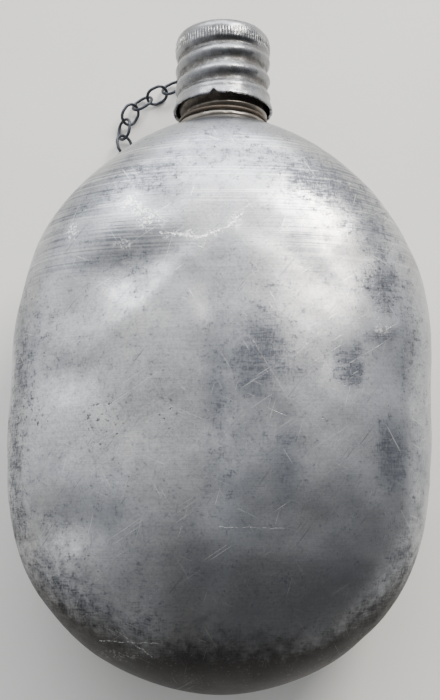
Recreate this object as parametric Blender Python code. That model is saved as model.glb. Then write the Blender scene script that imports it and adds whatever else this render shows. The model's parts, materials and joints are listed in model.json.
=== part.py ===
"""Seamless aluminium canteen with a screw cap and a retaining chain, lying on its back.

Frame: metres, +Z up out of the front face, +Y from the bottom end to the cap, +X to the right. The origin is
at the middle of the length and width, on the plane that the flat back rests on.

Design coordinates, used by every function below, are millimetres: x and z from the neck's axis, y along it
from the bottom end of the shell. to_world() turns them into the frame above.
"""

import math

import bmesh
import bpy
from mathutils import Matrix, Vector

MM = 0.001

# Body shell
BODY_LENGTH = 177.6
BODY_WIDTH = 132.0
FRONT_DEPTH = 39.0
BACK_DEPTH = 35.0
BACK_FLATTENED = 3.0
WIDEST_AT = 98.8
DEEPEST_AT = 0.42 * BODY_LENGTH
WALL = 1.2
SHOULDER_RADIUS = 14.0
SECTION_ROUND = 2.0
SECTION_SQUARENESS = 2.4
SQUARENESS_FADE = 6

# Fullness (how long the outline stays wide) and bluntness (how sharply it then turns in) of its four parts
LOWER_WIDTH_CURVE = (3.65, 1.73)
UPPER_WIDTH_CURVE = (2.46, 1.40)
LOWER_DEPTH_CURVE = (2.4, 2.0)
UPPER_DEPTH_CURVE = (2.6, 1.9)

# The lower half of the shell leans to the left
BOTTOM_LEAN = 1.7
LEAN_FADES_FROM = 45.0
LEAN_FADES_TO = 130.0
LEAN_AT_END = 0.45
LEAN_FULL_FROM = 5.0
LEAN_FULL_TO = 38.0

# Neck seat and inner tube
SEAT_RADIUS = 15.5
SEAT_DROP = 0.3
TUBE_RADIUS = 11.8
TUBE_BORE = 10.8
TUBE_TOP = BODY_LENGTH + 28.0

# Thread shared by the neck and the cap: a rounded right-handed wave
PITCH = 6.35
THREAD_HALF_HEIGHT = 0.55
THREAD_CREST_AT = BODY_LENGTH + 17.0
THREAD_CLEARANCE = 0.4

# Neck ferrule
FERRULE_BORE = 12.1
BEAD_CENTRE_RADIUS = 13.8
BEAD_CENTRE_AT = BODY_LENGTH + 1.45
BEAD_RADIUS = 1.3
GROOVE_RADIUS = 13.3
NECK_ROOT_RADIUS = 13.55
NECK_THREAD_FROM = BODY_LENGTH + 4.6
NECK_THREAD_TO = BODY_LENGTH + 27.0
NECK_THREAD_LEAD_IN = 1.4
NECK_THREAD_RUN_OUT = 2.6
MOUTH_AT = BODY_LENGTH + 30.6
MOUTH_RADIUS = 13.3
MOUTH_LIP = 0.4
MOUTH_BEVEL = 0.9
MOUTH_LIP_INSET = 0.2
BEAD_TOP_OFFSET = 1.35
BEAD_ANGLES = (-90.0, -45.0, 0.0, 45.0)

# Screw cap
CAP_WALL = 0.9
CAP_RIM_AT = BODY_LENGTH + 7.3
CAP_TOP_AT = BODY_LENGTH + 34.3
CAP_RIM_RADIUS = 16.65
CAP_CROWN_RADIUS = 16.05
CAP_CREST_RADIUS = NECK_ROOT_RADIUS + 2.0 * THREAD_HALF_HEIGHT + THREAD_CLEARANCE + CAP_WALL
RIVET_HOLE_RADIUS = 2.0
RIBS_FROM = BODY_LENGTH + 10.4
RIBS_TO = BODY_LENGTH + 28.4
RIB_LEAD_IN = 3.0
RIB_RUN_OUT = 2.4
RIM_EDGE = 0.7
RIM_EDGE_LIFT = 0.1
RIM_FLARE_HEIGHT = 1.4
RIM_FLARE = 0.25
RIM_WALL = 0.8

# How far the cap's crown turns in (mm) and how far below the top that is (mm), outside and then inside
CROWN_OUTSIDE = ((0.0, 4.9), (0.0, 3.3), (0.25, 2.0), (1.0, 0.7), (2.2, 0.1), (3.4, 0.0))
CROWN_INSIDE = ((2.6, 0.0), (CAP_WALL, 1.4))

# Cap fittings
GAP = 0.3
GASKET_RADIUS = 12.9
GASKET_BORE = 4.6
GASKET_THICKNESS = 2.2
WASHER_RADIUS = 4.2
WASHER_THICKNESS = 0.8
RIVET_RADIUS = 1.7
RIVET_HEAD_RADIUS = 2.4
RIVET_HEAD_HEIGHT = 0.5
RIVET_TAIL_HEIGHT = 0.8
RIVET_HEAD_TAPER = 0.7
RIVET_HEAD_EDGE = 0.4
RIVET_TAIL_TAPER = 0.6
RIVET_TAIL_EDGE = 0.5
PLATE_RADIUS = 4.8
PLATE_THICKNESS = 0.6
BAIL_WIRE_RADIUS = 0.65
BAIL_HALF_WIDTH = 4.2
BAIL_ROUNDNESS = 0.8
BAIL_APEX = Vector((0.0, CAP_TOP_AT + 4.7, -4.2))

# Chain collar on the neck
COLLAR_AT = BODY_LENGTH + 3.6
COLLAR_RING_RADIUS = 14.3
COLLAR_WIRE_RADIUS = 0.6
EYE_RADIUS = 2.1
EYE_WIRE_RADIUS = 0.5
EYE_OVERLAP = 0.3

# Chain
LINK_WIRE_RADIUS = 0.55
LINK_BEND_RADIUS = 3.15
LINK_STRAIGHT = 1.4
LINK_PITCH = 6.3
CAP_CHAIN_TWIST = 2.7
COLLAR_CHAIN_TWIST = 12.0
CAP_CHAIN_LINKS = 14
QUARTER_TURN = 90.0
LYING_HEIGHT = 3.2
COLLAR_CHAIN_LINKS = 5

TOTAL_LENGTH = BAIL_APEX.y + LINK_BEND_RADIUS + LINK_WIRE_RADIUS

# Facets of the solids
BODY_SIDES = 40
ROUND_SIDES = 32
SMALL_SIDES = 20
WIRE_SIDES = 6
BAIL_SIDES = 8
BAIL_STEPS = 10
EYE_STEPS = 14
LINK_BEND_STEPS = 6
ROUTE_SAMPLES = 24
SHARP_ANGLE = math.radians(40.0)
BODY_STATIONS = 11
SHOULDER_END_ANGLE = math.radians(84.0)
RINGS_PER_PITCH = 6

MATERIALS = {
    "shell_aluminium": ((0.66, 0.67, 0.69), 0.36, 1.0),
    "neck_aluminium": ((0.55, 0.52, 0.48), 0.34, 1.0),
    "cap_aluminium": ((0.63, 0.62, 0.60), 0.33, 1.0),
    "fitting_steel": ((0.42, 0.41, 0.40), 0.40, 1.0),
    "gasket_rubber": ((0.09, 0.07, 0.06), 0.80, 0.0),
    "chain_iron": ((0.13, 0.13, 0.14), 0.50, 0.9),
}

# Routes of the two ends of the chain: x, y in design coordinates, height of the wire's middle above the back
# plane. Each starts on the wire it hangs from, drops, and then lies on the surface that the canteen rests on.
CAP_CHAIN_ROUTE = (
    (0.0, BAIL_APEX.y, BACK_DEPTH + BAIL_APEX.z),
    (-0.3, BAIL_APEX.y - 0.1, 25.4),
    (-1.0, BAIL_APEX.y - 0.2, 18.6),
    (-2.3, BAIL_APEX.y - 0.4, 11.8),
    (-5.7, BAIL_APEX.y - 1.1, 6.4),
    (-11.5, BAIL_APEX.y - 3.6, 4.0),
    (-18.0, BAIL_APEX.y - 6.9, 3.3),
    (-23.0, BAIL_APEX.y - 9.4, LYING_HEIGHT),
    (-29.2, BAIL_APEX.y - 12.8, LYING_HEIGHT),
    (-34.0, BAIL_APEX.y - 16.8, LYING_HEIGHT),
    (-36.2, BAIL_APEX.y - 22.2, LYING_HEIGHT),
    (-36.2, BAIL_APEX.y - 28.2, LYING_HEIGHT),
    (-34.6, BAIL_APEX.y - 34.2, LYING_HEIGHT),
    (-30.6, BAIL_APEX.y - 39.0, LYING_HEIGHT),
    (-25.0, BAIL_APEX.y - 42.4, LYING_HEIGHT),
)
COLLAR_CHAIN_ROUTE = (
    (0.0, COLLAR_AT, BACK_DEPTH - COLLAR_RING_RADIUS - 2.0 * EYE_RADIUS + EYE_OVERLAP),
    (-1.6, COLLAR_AT, 10.8),
    (-5.8, COLLAR_AT + 0.2, 6.5),
    (-11.6, COLLAR_AT + 0.6, 4.1),
    (-17.8, COLLAR_AT + 1.4, 3.3),
    (-24.0, COLLAR_AT + 2.6, LYING_HEIGHT),
    (-30.0, COLLAR_AT + 4.2, LYING_HEIGHT),
)


def ease(value, start, end):
    """0 before start, 1 after end and a smooth step between them."""
    t = min(1.0, max(0.0, (value - start) / (end - start)))
    return t * t * (3.0 - 2.0 * t)


def power(value, exponent):
    """Raise the size of value to exponent and keep its sign."""
    return math.copysign(abs(value) ** exponent, value)


def rounded(share, curve):
    """Fall from 1 at share 0 to 0 at share 1 along a rounded curve of the given fullness and bluntness."""
    fullness, bluntness = curve
    return (1.0 - share ** fullness) ** (1.0 / bluntness)


def half_width(y):
    """Half the shell's width at y."""
    full = BODY_WIDTH / 2.0
    if y < WIDEST_AT:
        return full * rounded(1.0 - y / WIDEST_AT, LOWER_WIDTH_CURVE)
    towards_neck = (y - WIDEST_AT) / (BODY_LENGTH - WIDEST_AT)
    return SHOULDER_RADIUS + (full - SHOULDER_RADIUS) * rounded(towards_neck, UPPER_WIDTH_CURVE)


def half_depth(y, full):
    """Depth of the shell on one side of the neck's axis at y, for a greatest depth of full."""
    if y < DEEPEST_AT:
        return full * rounded(1.0 - y / DEEPEST_AT, LOWER_DEPTH_CURVE)
    towards_neck = (y - DEEPEST_AT) / (BODY_LENGTH - DEEPEST_AT)
    return SHOULDER_RADIUS + (full - SHOULDER_RADIUS) * rounded(towards_neck, UPPER_DEPTH_CURVE)


def lean(y):
    """How far the middle of the shell's section at y lies from the neck's axis: its lower half leans left."""
    fade = 1.0 - ease(y, LEAN_FADES_FROM, LEAN_FADES_TO)
    rise = LEAN_AT_END + (1.0 - LEAN_AT_END) * ease(y, LEAN_FULL_FROM, LEAN_FULL_TO)
    return -BOTTOM_LEAN * fade * rise


def shell_stations():
    """Distances from the bottom end at which the shell is sectioned, close together at both ends."""
    lower = [WIDEST_AT * (1.0 - math.cos(0.5 * math.pi * i / BODY_STATIONS)) for i in range(1, BODY_STATIONS)]
    span = BODY_LENGTH - WIDEST_AT
    upper = [WIDEST_AT + span * math.sin(SHOULDER_END_ANGLE * i / BODY_STATIONS) for i in range(BODY_STATIONS + 1)]
    return lower + upper


def to_world(point):
    """Turn a point in design coordinates into metres in the part's frame."""
    right = max(lean(y) + half_width(y) for y in shell_stations())
    left = min(lean(y) - half_width(y) for y in shell_stations())
    return Vector((point[0] - (right + left) / 2.0, point[1] - TOTAL_LENGTH / 2.0, point[2] + BACK_DEPTH)) * MM


def clear_scene():
    """Remove whatever the file holds before modelling."""
    for obj in list(bpy.data.objects):
        bpy.data.objects.remove(obj, do_unlink=True)


def material(name):
    """Return the named material, made on first use."""
    found = bpy.data.materials.get(name)
    if found is None:
        colour, roughness, metallic = MATERIALS[name]
        found = bpy.data.materials.new(name)
        found.use_nodes = True
        shader = found.node_tree.nodes["Principled BSDF"]
        shader.inputs["Base Color"].default_value = (*colour, 1.0)
        shader.inputs["Roughness"].default_value = roughness
        shader.inputs["Metallic"].default_value = metallic
    return found


def add_object(name, mesh, finish, origin=(0.0, 0.0, 0.0)):
    """Link an object whose mesh is already in metres about origin, a point in design coordinates."""
    obj = bpy.data.objects.new(name, mesh)
    bpy.context.collection.objects.link(obj)
    obj.location = to_world(origin)
    if not mesh.materials:
        mesh.materials.append(material(finish))
    return obj


def attach(child, parent):
    """Parent child to parent without moving it."""
    bpy.context.view_layer.update()
    child.parent = parent
    child.matrix_parent_inverse = parent.matrix_world.inverted()


def loft_mesh(name, rings, origin, closed=False):
    """Bridge rings of points into one closed mesh.

    A ring of a single point is a pole. With closed=True the last ring is bridged to the first, which makes a
    tube bent into a loop; otherwise the first and last rings are poles or are filled with a face.
    """
    bm = bmesh.new()
    rows = [[bm.verts.new((Vector(point) - Vector(origin)) * MM) for point in ring] for ring in rings]
    pairs = list(zip(rows, rows[1:]))
    if closed:
        pairs.append((rows[-1], rows[0]))
    for low, high in pairs:
        count = max(len(low), len(high))
        for i in range(count):
            j = (i + 1) % count
            if len(low) == 1:
                bm.faces.new((low[0], high[i], high[j]))
            elif len(high) == 1:
                bm.faces.new((low[i], low[j], high[0]))
            else:
                bm.faces.new((low[i], low[j], high[j], high[i]))
    if not closed:
        for end in (rows[0], rows[-1]):
            if len(end) > 1:
                bm.faces.new(end)
    bmesh.ops.recalc_face_normals(bm, faces=bm.faces)
    mesh = bpy.data.meshes.new(name)
    bm.to_mesh(mesh)
    bm.free()
    mesh.shade_smooth()
    mesh.set_sharp_from_angle(angle=SHARP_ANGLE)
    return mesh


# ---------------------------------------------------------------- body shell

def shell_ring(y):
    """One oval section of the shell's outside, flat where it meets the back plane."""
    to_neck = max(0.0, (y - WIDEST_AT) / (BODY_LENGTH - WIDEST_AT))
    squareness = SECTION_ROUND + (SECTION_SQUARENESS - SECTION_ROUND) * (1.0 - to_neck ** SQUARENESS_FADE)
    exponent = SECTION_ROUND / squareness
    ring = []
    for i in range(BODY_SIDES):
        angle = 2.0 * math.pi * i / BODY_SIDES
        full = FRONT_DEPTH if math.sin(angle) > 0.0 else BACK_DEPTH + BACK_FLATTENED
        x = lean(y) + half_width(y) * power(math.cos(angle), exponent)
        z = half_depth(y, full) * power(math.sin(angle), exponent)
        ring.append((x, y, max(z, -BACK_DEPTH)))
    return ring


def circle(radius, y, sides):
    """A round section about the neck's axis, in the order that shell_ring uses."""
    turns = [2.0 * math.pi * i / sides for i in range(sides)]
    return [(radius * math.cos(a), y, radius * math.sin(a)) for a in turns]


def inset(point):
    """Move a point on the shell's outside inwards by about one wall."""
    half_length = BODY_LENGTH / 2.0
    depth = FRONT_DEPTH if point[2] > 0.0 else BACK_DEPTH
    return (
        point[0] * (1.0 - 2.0 * WALL / BODY_WIDTH),
        half_length + (point[1] - half_length) * (1.0 - WALL / half_length),
        point[2] * (1.0 - WALL / depth),
    )


def build_body_shell():
    """The hollow drawn shell with its plain inner neck tube."""
    outer = [[(0.0, 0.0, 0.0)]] + [shell_ring(y) for y in shell_stations()]
    inner = [[inset(point) for point in ring] for ring in outer]
    seat = BODY_LENGTH - SEAT_DROP
    neck = [
        circle(SEAT_RADIUS, seat, BODY_SIDES),
        circle(TUBE_RADIUS, seat, BODY_SIDES),
        circle(TUBE_RADIUS, TUBE_TOP, BODY_SIDES),
        circle(TUBE_BORE, TUBE_TOP, BODY_SIDES),
        circle(TUBE_BORE, BODY_LENGTH - SEAT_DROP - WALL, BODY_SIDES),
    ]
    origin = (0.0, 0.0, 0.0)
    mesh = loft_mesh("body_shell", outer + neck + inner[::-1], origin)
    return add_object("body_shell", mesh, "shell_aluminium", origin)


# ---------------------------------------------------------------- turned and threaded pieces

def turned_rings(profile, sides=ROUND_SIDES):
    """Rings about the neck's axis from (radius, y) pairs."""
    return [circle(radius, y, sides) for radius, y in profile]


def threaded_ring(y, root, height, weight):
    """A ring whose radius follows the thread: root, plus a wave of the given signed height."""
    ring = []
    for i in range(ROUND_SIDES):
        angle = 2.0 * math.pi * i / ROUND_SIDES
        about_axis = math.pi / 2.0 - angle
        phase = 2.0 * math.pi * (y - THREAD_CREST_AT) / PITCH - about_axis
        wave = 1.0 + math.copysign(1.0, height) * math.cos(phase)
        radius = root + height * weight * wave
        ring.append((radius * math.cos(angle), y, radius * math.sin(angle)))
    return ring


def thread_stations(start, end):
    """Stations from start to end, RINGS_PER_PITCH to each pitch."""
    steps = max(1, round((end - start) / PITCH * RINGS_PER_PITCH))
    return [start + (end - start) * i / steps for i in range(steps + 1)]


def build_neck_ferrule():
    """The threaded neck: base bead, collar groove, rounded thread and rolled mouth."""
    bead = []
    for degrees in BEAD_ANGLES:
        turn = math.radians(degrees)
        radius = BEAD_CENTRE_RADIUS + BEAD_RADIUS * math.cos(turn)
        bead.append((radius, BEAD_CENTRE_AT + BEAD_RADIUS * math.sin(turn)))
    rings = turned_rings([(FERRULE_BORE, BEAD_CENTRE_AT - BEAD_RADIUS)] + bead)
    rings += turned_rings([(GROOVE_RADIUS, BEAD_CENTRE_AT + BEAD_TOP_OFFSET)])
    for y in thread_stations(NECK_THREAD_FROM, NECK_THREAD_TO):
        lead_in = ease(y, NECK_THREAD_FROM, NECK_THREAD_FROM + NECK_THREAD_LEAD_IN)
        weight = lead_in * (1.0 - ease(y, NECK_THREAD_TO - NECK_THREAD_RUN_OUT, NECK_THREAD_TO))
        rings.append(threaded_ring(y, NECK_ROOT_RADIUS, THREAD_HALF_HEIGHT, weight))
    rings += turned_rings([
        (MOUTH_RADIUS, MOUTH_AT - MOUTH_BEVEL),
        (MOUTH_RADIUS - MOUTH_LIP, MOUTH_AT),
        (FERRULE_BORE + MOUTH_LIP_INSET, MOUTH_AT),
        (FERRULE_BORE, MOUTH_AT - MOUTH_LIP),
    ])
    origin = (0.0, BODY_LENGTH, 0.0)
    mesh = loft_mesh("neck_ferrule", rings, origin, closed=True)
    return add_object("neck_ferrule", mesh, "neck_aluminium", origin)


def build_cap_shell():
    """The rolled screw cap: flared skirt, two helical ribs, plain crown and a hole for the rivet."""
    inner_root = CAP_CREST_RADIUS - CAP_WALL
    outer = []
    inner = []
    for y in thread_stations(RIBS_FROM, RIBS_TO):
        weight = ease(y, RIBS_FROM, RIBS_FROM + RIB_LEAD_IN) * (1.0 - ease(y, RIBS_TO - RIB_RUN_OUT, RIBS_TO))
        outer.append(threaded_ring(y, CAP_CREST_RADIUS, -THREAD_HALF_HEIGHT, weight))
        inner.append(threaded_ring(y, inner_root, -THREAD_HALF_HEIGHT, weight))
    inside_top = CAP_TOP_AT - CAP_WALL
    rings = turned_rings([
        (CAP_RIM_RADIUS - RIM_EDGE, CAP_RIM_AT + RIM_EDGE_LIFT),
        (CAP_RIM_RADIUS, CAP_RIM_AT),
        (CAP_RIM_RADIUS - RIM_FLARE, CAP_RIM_AT + RIM_FLARE_HEIGHT),
    ])
    rings += outer
    rings += turned_rings([(CAP_CROWN_RADIUS - turn_in, CAP_TOP_AT - drop) for turn_in, drop in CROWN_OUTSIDE])
    rings += turned_rings([(RIVET_HOLE_RADIUS, CAP_TOP_AT), (RIVET_HOLE_RADIUS, inside_top)])
    rings += turned_rings([(CAP_CROWN_RADIUS - turn_in, inside_top - drop) for turn_in, drop in CROWN_INSIDE])
    rings += inner[::-1]
    rings += turned_rings([(CAP_RIM_RADIUS - RIM_FLARE - RIM_WALL, CAP_RIM_AT + RIM_FLARE_HEIGHT)])
    origin = (0.0, CAP_RIM_AT, 0.0)
    mesh = loft_mesh("cap_shell", rings, origin, closed=True)
    return add_object("cap_shell", mesh, "cap_aluminium", origin)


def build_disc(name, outer, bore, low, high, finish):
    """A flat washer between two stations on the axis."""
    rings = turned_rings([(bore, low), (outer, low), (outer, high), (bore, high)])
    origin = (0.0, low, 0.0)
    return add_object(name, loft_mesh(name, rings, origin, closed=True), finish, origin)


def build_swivel_rivet():
    """The rivet that holds the swivel plate on the cap and lets the cap turn."""
    head = CAP_TOP_AT + GAP + PLATE_THICKNESS + GAP
    tail = CAP_TOP_AT - CAP_WALL - GAP - WASHER_THICKNESS - GAP
    profile = [
        (RIVET_HEAD_RADIUS * RIVET_TAIL_TAPER, tail - RIVET_TAIL_HEIGHT),
        (RIVET_HEAD_RADIUS, tail - RIVET_TAIL_HEIGHT * RIVET_TAIL_EDGE),
        (RIVET_HEAD_RADIUS, tail),
        (RIVET_RADIUS, tail),
        (RIVET_RADIUS, head),
        (RIVET_HEAD_RADIUS, head),
        (RIVET_HEAD_RADIUS, head + RIVET_HEAD_HEIGHT * RIVET_HEAD_EDGE),
        (RIVET_HEAD_RADIUS * RIVET_HEAD_TAPER, head + RIVET_HEAD_HEIGHT),
    ]
    origin = (0.0, CAP_TOP_AT, 0.0)
    mesh = loft_mesh("swivel_rivet", turned_rings(profile, SMALL_SIDES), origin)
    return add_object("swivel_rivet", mesh, "fitting_steel", origin)


# ---------------------------------------------------------------- wire pieces

def tube_rings(points, radius, sides=WIRE_SIDES, side=Vector((0.0, 0.0, 1.0))):
    """Round sections along a planar path whose plane's normal is side; ends are square to the path."""
    rings = []
    for i, point in enumerate(points):
        before = points[max(0, i - 1)]
        after = points[min(len(points) - 1, i + 1)]
        along = (after - before).normalized()
        across = along.cross(side).normalized()
        turns = [2.0 * math.pi * k / sides for k in range(sides)]
        rings.append([point + radius * (math.cos(a) * across + math.sin(a) * side) for a in turns])
    return rings


def loop_rings(centre, radius, wire, steps, first, second, sides=WIRE_SIDES):
    """Sections of a round wire loop about centre, in the plane of the unit vectors first and second."""
    side = first.cross(second)
    rings = []
    for i in range(steps):
        turn = 2.0 * math.pi * i / steps
        out = math.cos(turn) * first + math.sin(turn) * second
        turns = [2.0 * math.pi * k / sides for k in range(sides)]
        rings.append([
            centre + out * (radius + wire * math.cos(a)) + side * (wire * math.sin(a)) for a in turns
        ])
    return rings


def join_solids(base, extra):
    """Unite extra into base with a Boolean, and hide extra."""
    extra.hide_render = True
    extra.display_type = "WIRE"
    union = base.modifiers.new("union", "BOOLEAN")
    union.operation = "UNION"
    union.solver = "EXACT"
    union.object = extra


def build_swivel_loop():
    """The swivel plate with its wire bail, which leans down towards the hanging chain."""
    low = CAP_TOP_AT + GAP
    plate = build_disc("swivel_loop", PLATE_RADIUS, RIVET_HOLE_RADIUS, low, low + PLATE_THICKNESS, "fitting_steel")
    foot = Vector((0.0, low + PLATE_THICKNESS * 0.5, 0.0))
    rise = BAIL_APEX - foot
    lean = rise.normalized()
    side = Vector((1.0, 0.0, 0.0)).cross(lean)
    turns = [math.pi * i / BAIL_STEPS for i in range(BAIL_STEPS + 1)]
    arch = [
        foot + Vector((BAIL_HALF_WIDTH * math.cos(a), 0.0, 0.0)) + lean * (rise.length * math.sin(a) ** BAIL_ROUNDNESS)
        for a in turns
    ]
    mesh = loft_mesh("bail", tube_rings(arch, BAIL_WIRE_RADIUS, BAIL_SIDES, side), foot)
    bail = add_object("bail", mesh, "fitting_steel", foot)
    join_solids(plate, bail)
    attach(bail, plate)
    return plate


def build_collar_wire():
    """The wire ring that turns in the neck's groove, with an eye below it for the chain."""
    across = Vector((1.0, 0.0, 0.0))
    down = Vector((0.0, 0.0, -1.0))
    centre = Vector((0.0, COLLAR_AT, 0.0))
    rings = loop_rings(centre, COLLAR_RING_RADIUS, COLLAR_WIRE_RADIUS, ROUND_SIDES, down, across)
    ring = add_object("collar_wire", loft_mesh("collar_wire", rings, centre, closed=True), "chain_iron", centre)
    eye_centre = centre + down * (COLLAR_RING_RADIUS + EYE_RADIUS - EYE_OVERLAP)
    rings = loop_rings(eye_centre, EYE_RADIUS, EYE_WIRE_RADIUS, EYE_STEPS, down, across)
    eye = add_object("eye", loft_mesh("eye", rings, eye_centre, closed=True), "chain_iron", eye_centre)
    join_solids(ring, eye)
    attach(eye, ring)
    return ring


# ---------------------------------------------------------------- chain

def link_mesh():
    """One oval link in metres. It hangs from its own origin along +X and lies in the XY plane."""
    middle = LINK_PITCH - LINK_STRAIGHT / 2.0 - LINK_BEND_RADIUS
    path = []
    for end in (1.0, -1.0):
        for i in range(LINK_BEND_STEPS + 1):
            turn = end * math.pi / 2.0 * (2.0 * i / LINK_BEND_STEPS - 1.0)
            out = Vector((end * math.cos(turn), math.sin(turn), 0.0))
            path.append((Vector((middle + end * LINK_STRAIGHT / 2.0, 0.0, 0.0)), out))
    turns = [2.0 * math.pi * k / WIRE_SIDES for k in range(WIRE_SIDES)]
    rings = []
    for centre, out in path:
        rings.append([
            centre + out * (LINK_BEND_RADIUS + LINK_WIRE_RADIUS * math.cos(a))
            + Vector((0.0, 0.0, LINK_WIRE_RADIUS * math.sin(a))) for a in turns
        ])
    return loft_mesh("chain_link", rings, (0.0, 0.0, 0.0), closed=True)


def smooth_route(route):
    """A fine polyline on a smooth curve through the route's points, in design coordinates."""
    points = [Vector((x, y, height - BACK_DEPTH)) for x, y, height in route]
    line = []
    for i in range(len(points) - 1):
        a = points[max(0, i - 1)]
        b = points[i]
        c = points[i + 1]
        d = points[min(len(points) - 1, i + 2)]
        for k in range(ROUTE_SAMPLES):
            t = k / ROUTE_SAMPLES
            bend = (2.0 * a - 5.0 * b + 4.0 * c - d) * t ** 2 + (3.0 * b - a - 3.0 * c + d) * t ** 3
            line.append(0.5 * (2.0 * b + (c - a) * t + bend))
    line.append(points[-1])
    return line


def link_frames(route, count, twist):
    """Pivot, direction and plane normal of each link laid one pitch apart along the route.

    Every link is turned a quarter turn from the one before it, plus a small twist in degrees.
    """
    line = smooth_route(route)
    pivots = [line[0]]
    for point in line:
        if len(pivots) <= count and (point - pivots[-1]).length >= LINK_PITCH:
            pivots.append(pivots[-1] + (point - pivots[-1]).normalized() * LINK_PITCH)
    frames = []
    normal = Vector((1.0, 0.0, 0.0))
    direction = Vector((0.0, 0.0, -1.0))
    for k in range(count):
        new_direction = (pivots[k + 1] - pivots[k]).normalized()
        normal = direction.rotation_difference(new_direction) @ normal
        if k > 0:
            normal = Matrix.Rotation(math.radians(QUARTER_TURN + twist), 3, new_direction) @ normal
        normal = (normal - normal.project(new_direction)).normalized()
        direction = new_direction
        frames.append((pivots[k], direction, normal))
    return frames


def build_chain(prefix, route, count, twist, anchor):
    """The links of one end of the chain, each hung on the wire before it."""
    mesh = link_mesh()
    links = []
    for number, (pivot, direction, normal) in enumerate(link_frames(route, count, twist), start=1):
        link = add_object(f"{prefix}_{number:02d}", mesh, "chain_iron", pivot)
        axes = Matrix((direction, normal.cross(direction), normal)).transposed()
        link.rotation_euler = axes.to_euler()
        attach(link, links[-1] if links else anchor)
        links.append(link)
    return links


def build_canteen():
    """Build every sub-part and hang the moving ones on what carries them."""
    clear_scene()
    shell = build_body_shell()
    ferrule = build_neck_ferrule()
    collar = build_collar_wire()
    loop = build_swivel_loop()
    rivet = build_swivel_rivet()
    washer_top = CAP_TOP_AT - CAP_WALL - GAP
    washer = build_disc("rivet_washer", WASHER_RADIUS, RIVET_HOLE_RADIUS, washer_top - WASHER_THICKNESS,
                        washer_top, "fitting_steel")
    cap = build_cap_shell()
    gasket = build_disc("cap_gasket", GASKET_RADIUS, GASKET_BORE, washer_top - GASKET_THICKNESS,
                        washer_top, "gasket_rubber")
    attach(ferrule, shell)
    attach(collar, ferrule)
    attach(loop, shell)
    attach(rivet, loop)
    attach(washer, loop)
    attach(cap, loop)
    attach(gasket, cap)
    build_chain("cap_link", CAP_CHAIN_ROUTE, CAP_CHAIN_LINKS, CAP_CHAIN_TWIST, loop)
    build_chain("collar_link", COLLAR_CHAIN_ROUTE, COLLAR_CHAIN_LINKS, COLLAR_CHAIN_TWIST, collar)
    bpy.context.view_layer.update()


build_canteen()
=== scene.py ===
"""Looks of a worn aluminium canteen: dented shell, threaded neck, ribbed screw cap and iron retaining chain.

Shapes are worked out in design millimetres: x and z from the neck's axis, y along it from the shell's bottom
end, z towards the front face. Datum.world turns them into the frame's metres.
"""

import json
import logging
import math
from dataclasses import dataclass
from enum import Enum
from typing import Any, Callable, Dict, List, Optional, Sequence, Tuple, Union

import bpy
import numpy as np
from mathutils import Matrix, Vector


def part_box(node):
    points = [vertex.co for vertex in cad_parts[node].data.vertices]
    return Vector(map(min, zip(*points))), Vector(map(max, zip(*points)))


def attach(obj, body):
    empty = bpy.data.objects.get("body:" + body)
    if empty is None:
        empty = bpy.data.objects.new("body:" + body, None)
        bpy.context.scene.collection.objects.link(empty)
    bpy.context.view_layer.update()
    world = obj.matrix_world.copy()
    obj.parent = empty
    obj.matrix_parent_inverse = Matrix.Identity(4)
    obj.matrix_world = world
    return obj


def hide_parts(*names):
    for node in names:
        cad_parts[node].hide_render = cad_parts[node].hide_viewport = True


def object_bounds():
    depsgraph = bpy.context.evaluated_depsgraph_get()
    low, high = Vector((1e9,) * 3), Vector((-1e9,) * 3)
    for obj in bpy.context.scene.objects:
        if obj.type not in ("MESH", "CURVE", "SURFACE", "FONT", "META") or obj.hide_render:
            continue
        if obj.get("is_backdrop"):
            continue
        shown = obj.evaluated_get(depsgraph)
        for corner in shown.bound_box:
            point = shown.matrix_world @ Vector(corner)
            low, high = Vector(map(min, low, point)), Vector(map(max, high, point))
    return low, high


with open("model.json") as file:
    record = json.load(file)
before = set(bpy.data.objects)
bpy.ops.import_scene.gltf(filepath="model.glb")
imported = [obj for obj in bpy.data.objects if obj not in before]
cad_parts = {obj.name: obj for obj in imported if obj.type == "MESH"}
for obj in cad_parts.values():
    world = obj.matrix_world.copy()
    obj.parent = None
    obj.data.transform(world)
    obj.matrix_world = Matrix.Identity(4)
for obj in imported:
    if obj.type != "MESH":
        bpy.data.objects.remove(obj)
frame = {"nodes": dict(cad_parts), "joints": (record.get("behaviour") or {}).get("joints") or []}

FRAME_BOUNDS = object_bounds()
LOG = logging.getLogger("canteen")
MM = 0.001
PER_METRE = 1000.0

Point = Tuple[float, float, float]
Colour = Tuple[float, float, float]
Pairs = Sequence[Tuple[float, float]]
Reshape = Callable[[np.ndarray, np.ndarray, np.ndarray], Tuple[np.ndarray, np.ndarray]]


# ------------------------------------------------------------------------------------------------ options


class Body(Enum):
    """Moving bodies of the frame that pieces ride on."""

    CANTEEN = "canteen"
    CAP = "cap"
    SWIVEL = "swivel"
    COLLAR = "collar"


class Slot(Enum):
    """Material slots of the record."""

    SHELL = "shell_aluminium"
    NECK = "neck_aluminium"
    CAP = "cap_aluminium"
    FITTING = "fitting_steel"
    CHAIN = "chain_iron"


class Mask(Enum):
    """Names of the per-vertex marks that the shell's finish reads: real dirt and wear, with painted shade and painted
    highlights among them.
    """

    SMUDGE_AND_SHADE = "smudge_and_shade"
    PITTING = "pitting"
    RUBBED = "rubbed"
    SOOT_AND_SHADE = "soot_and_shade"
    PAINTED_HIGHLIGHT = "painted_highlight"


# ------------------------------------------------------------------------------------------------ measures


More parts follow.
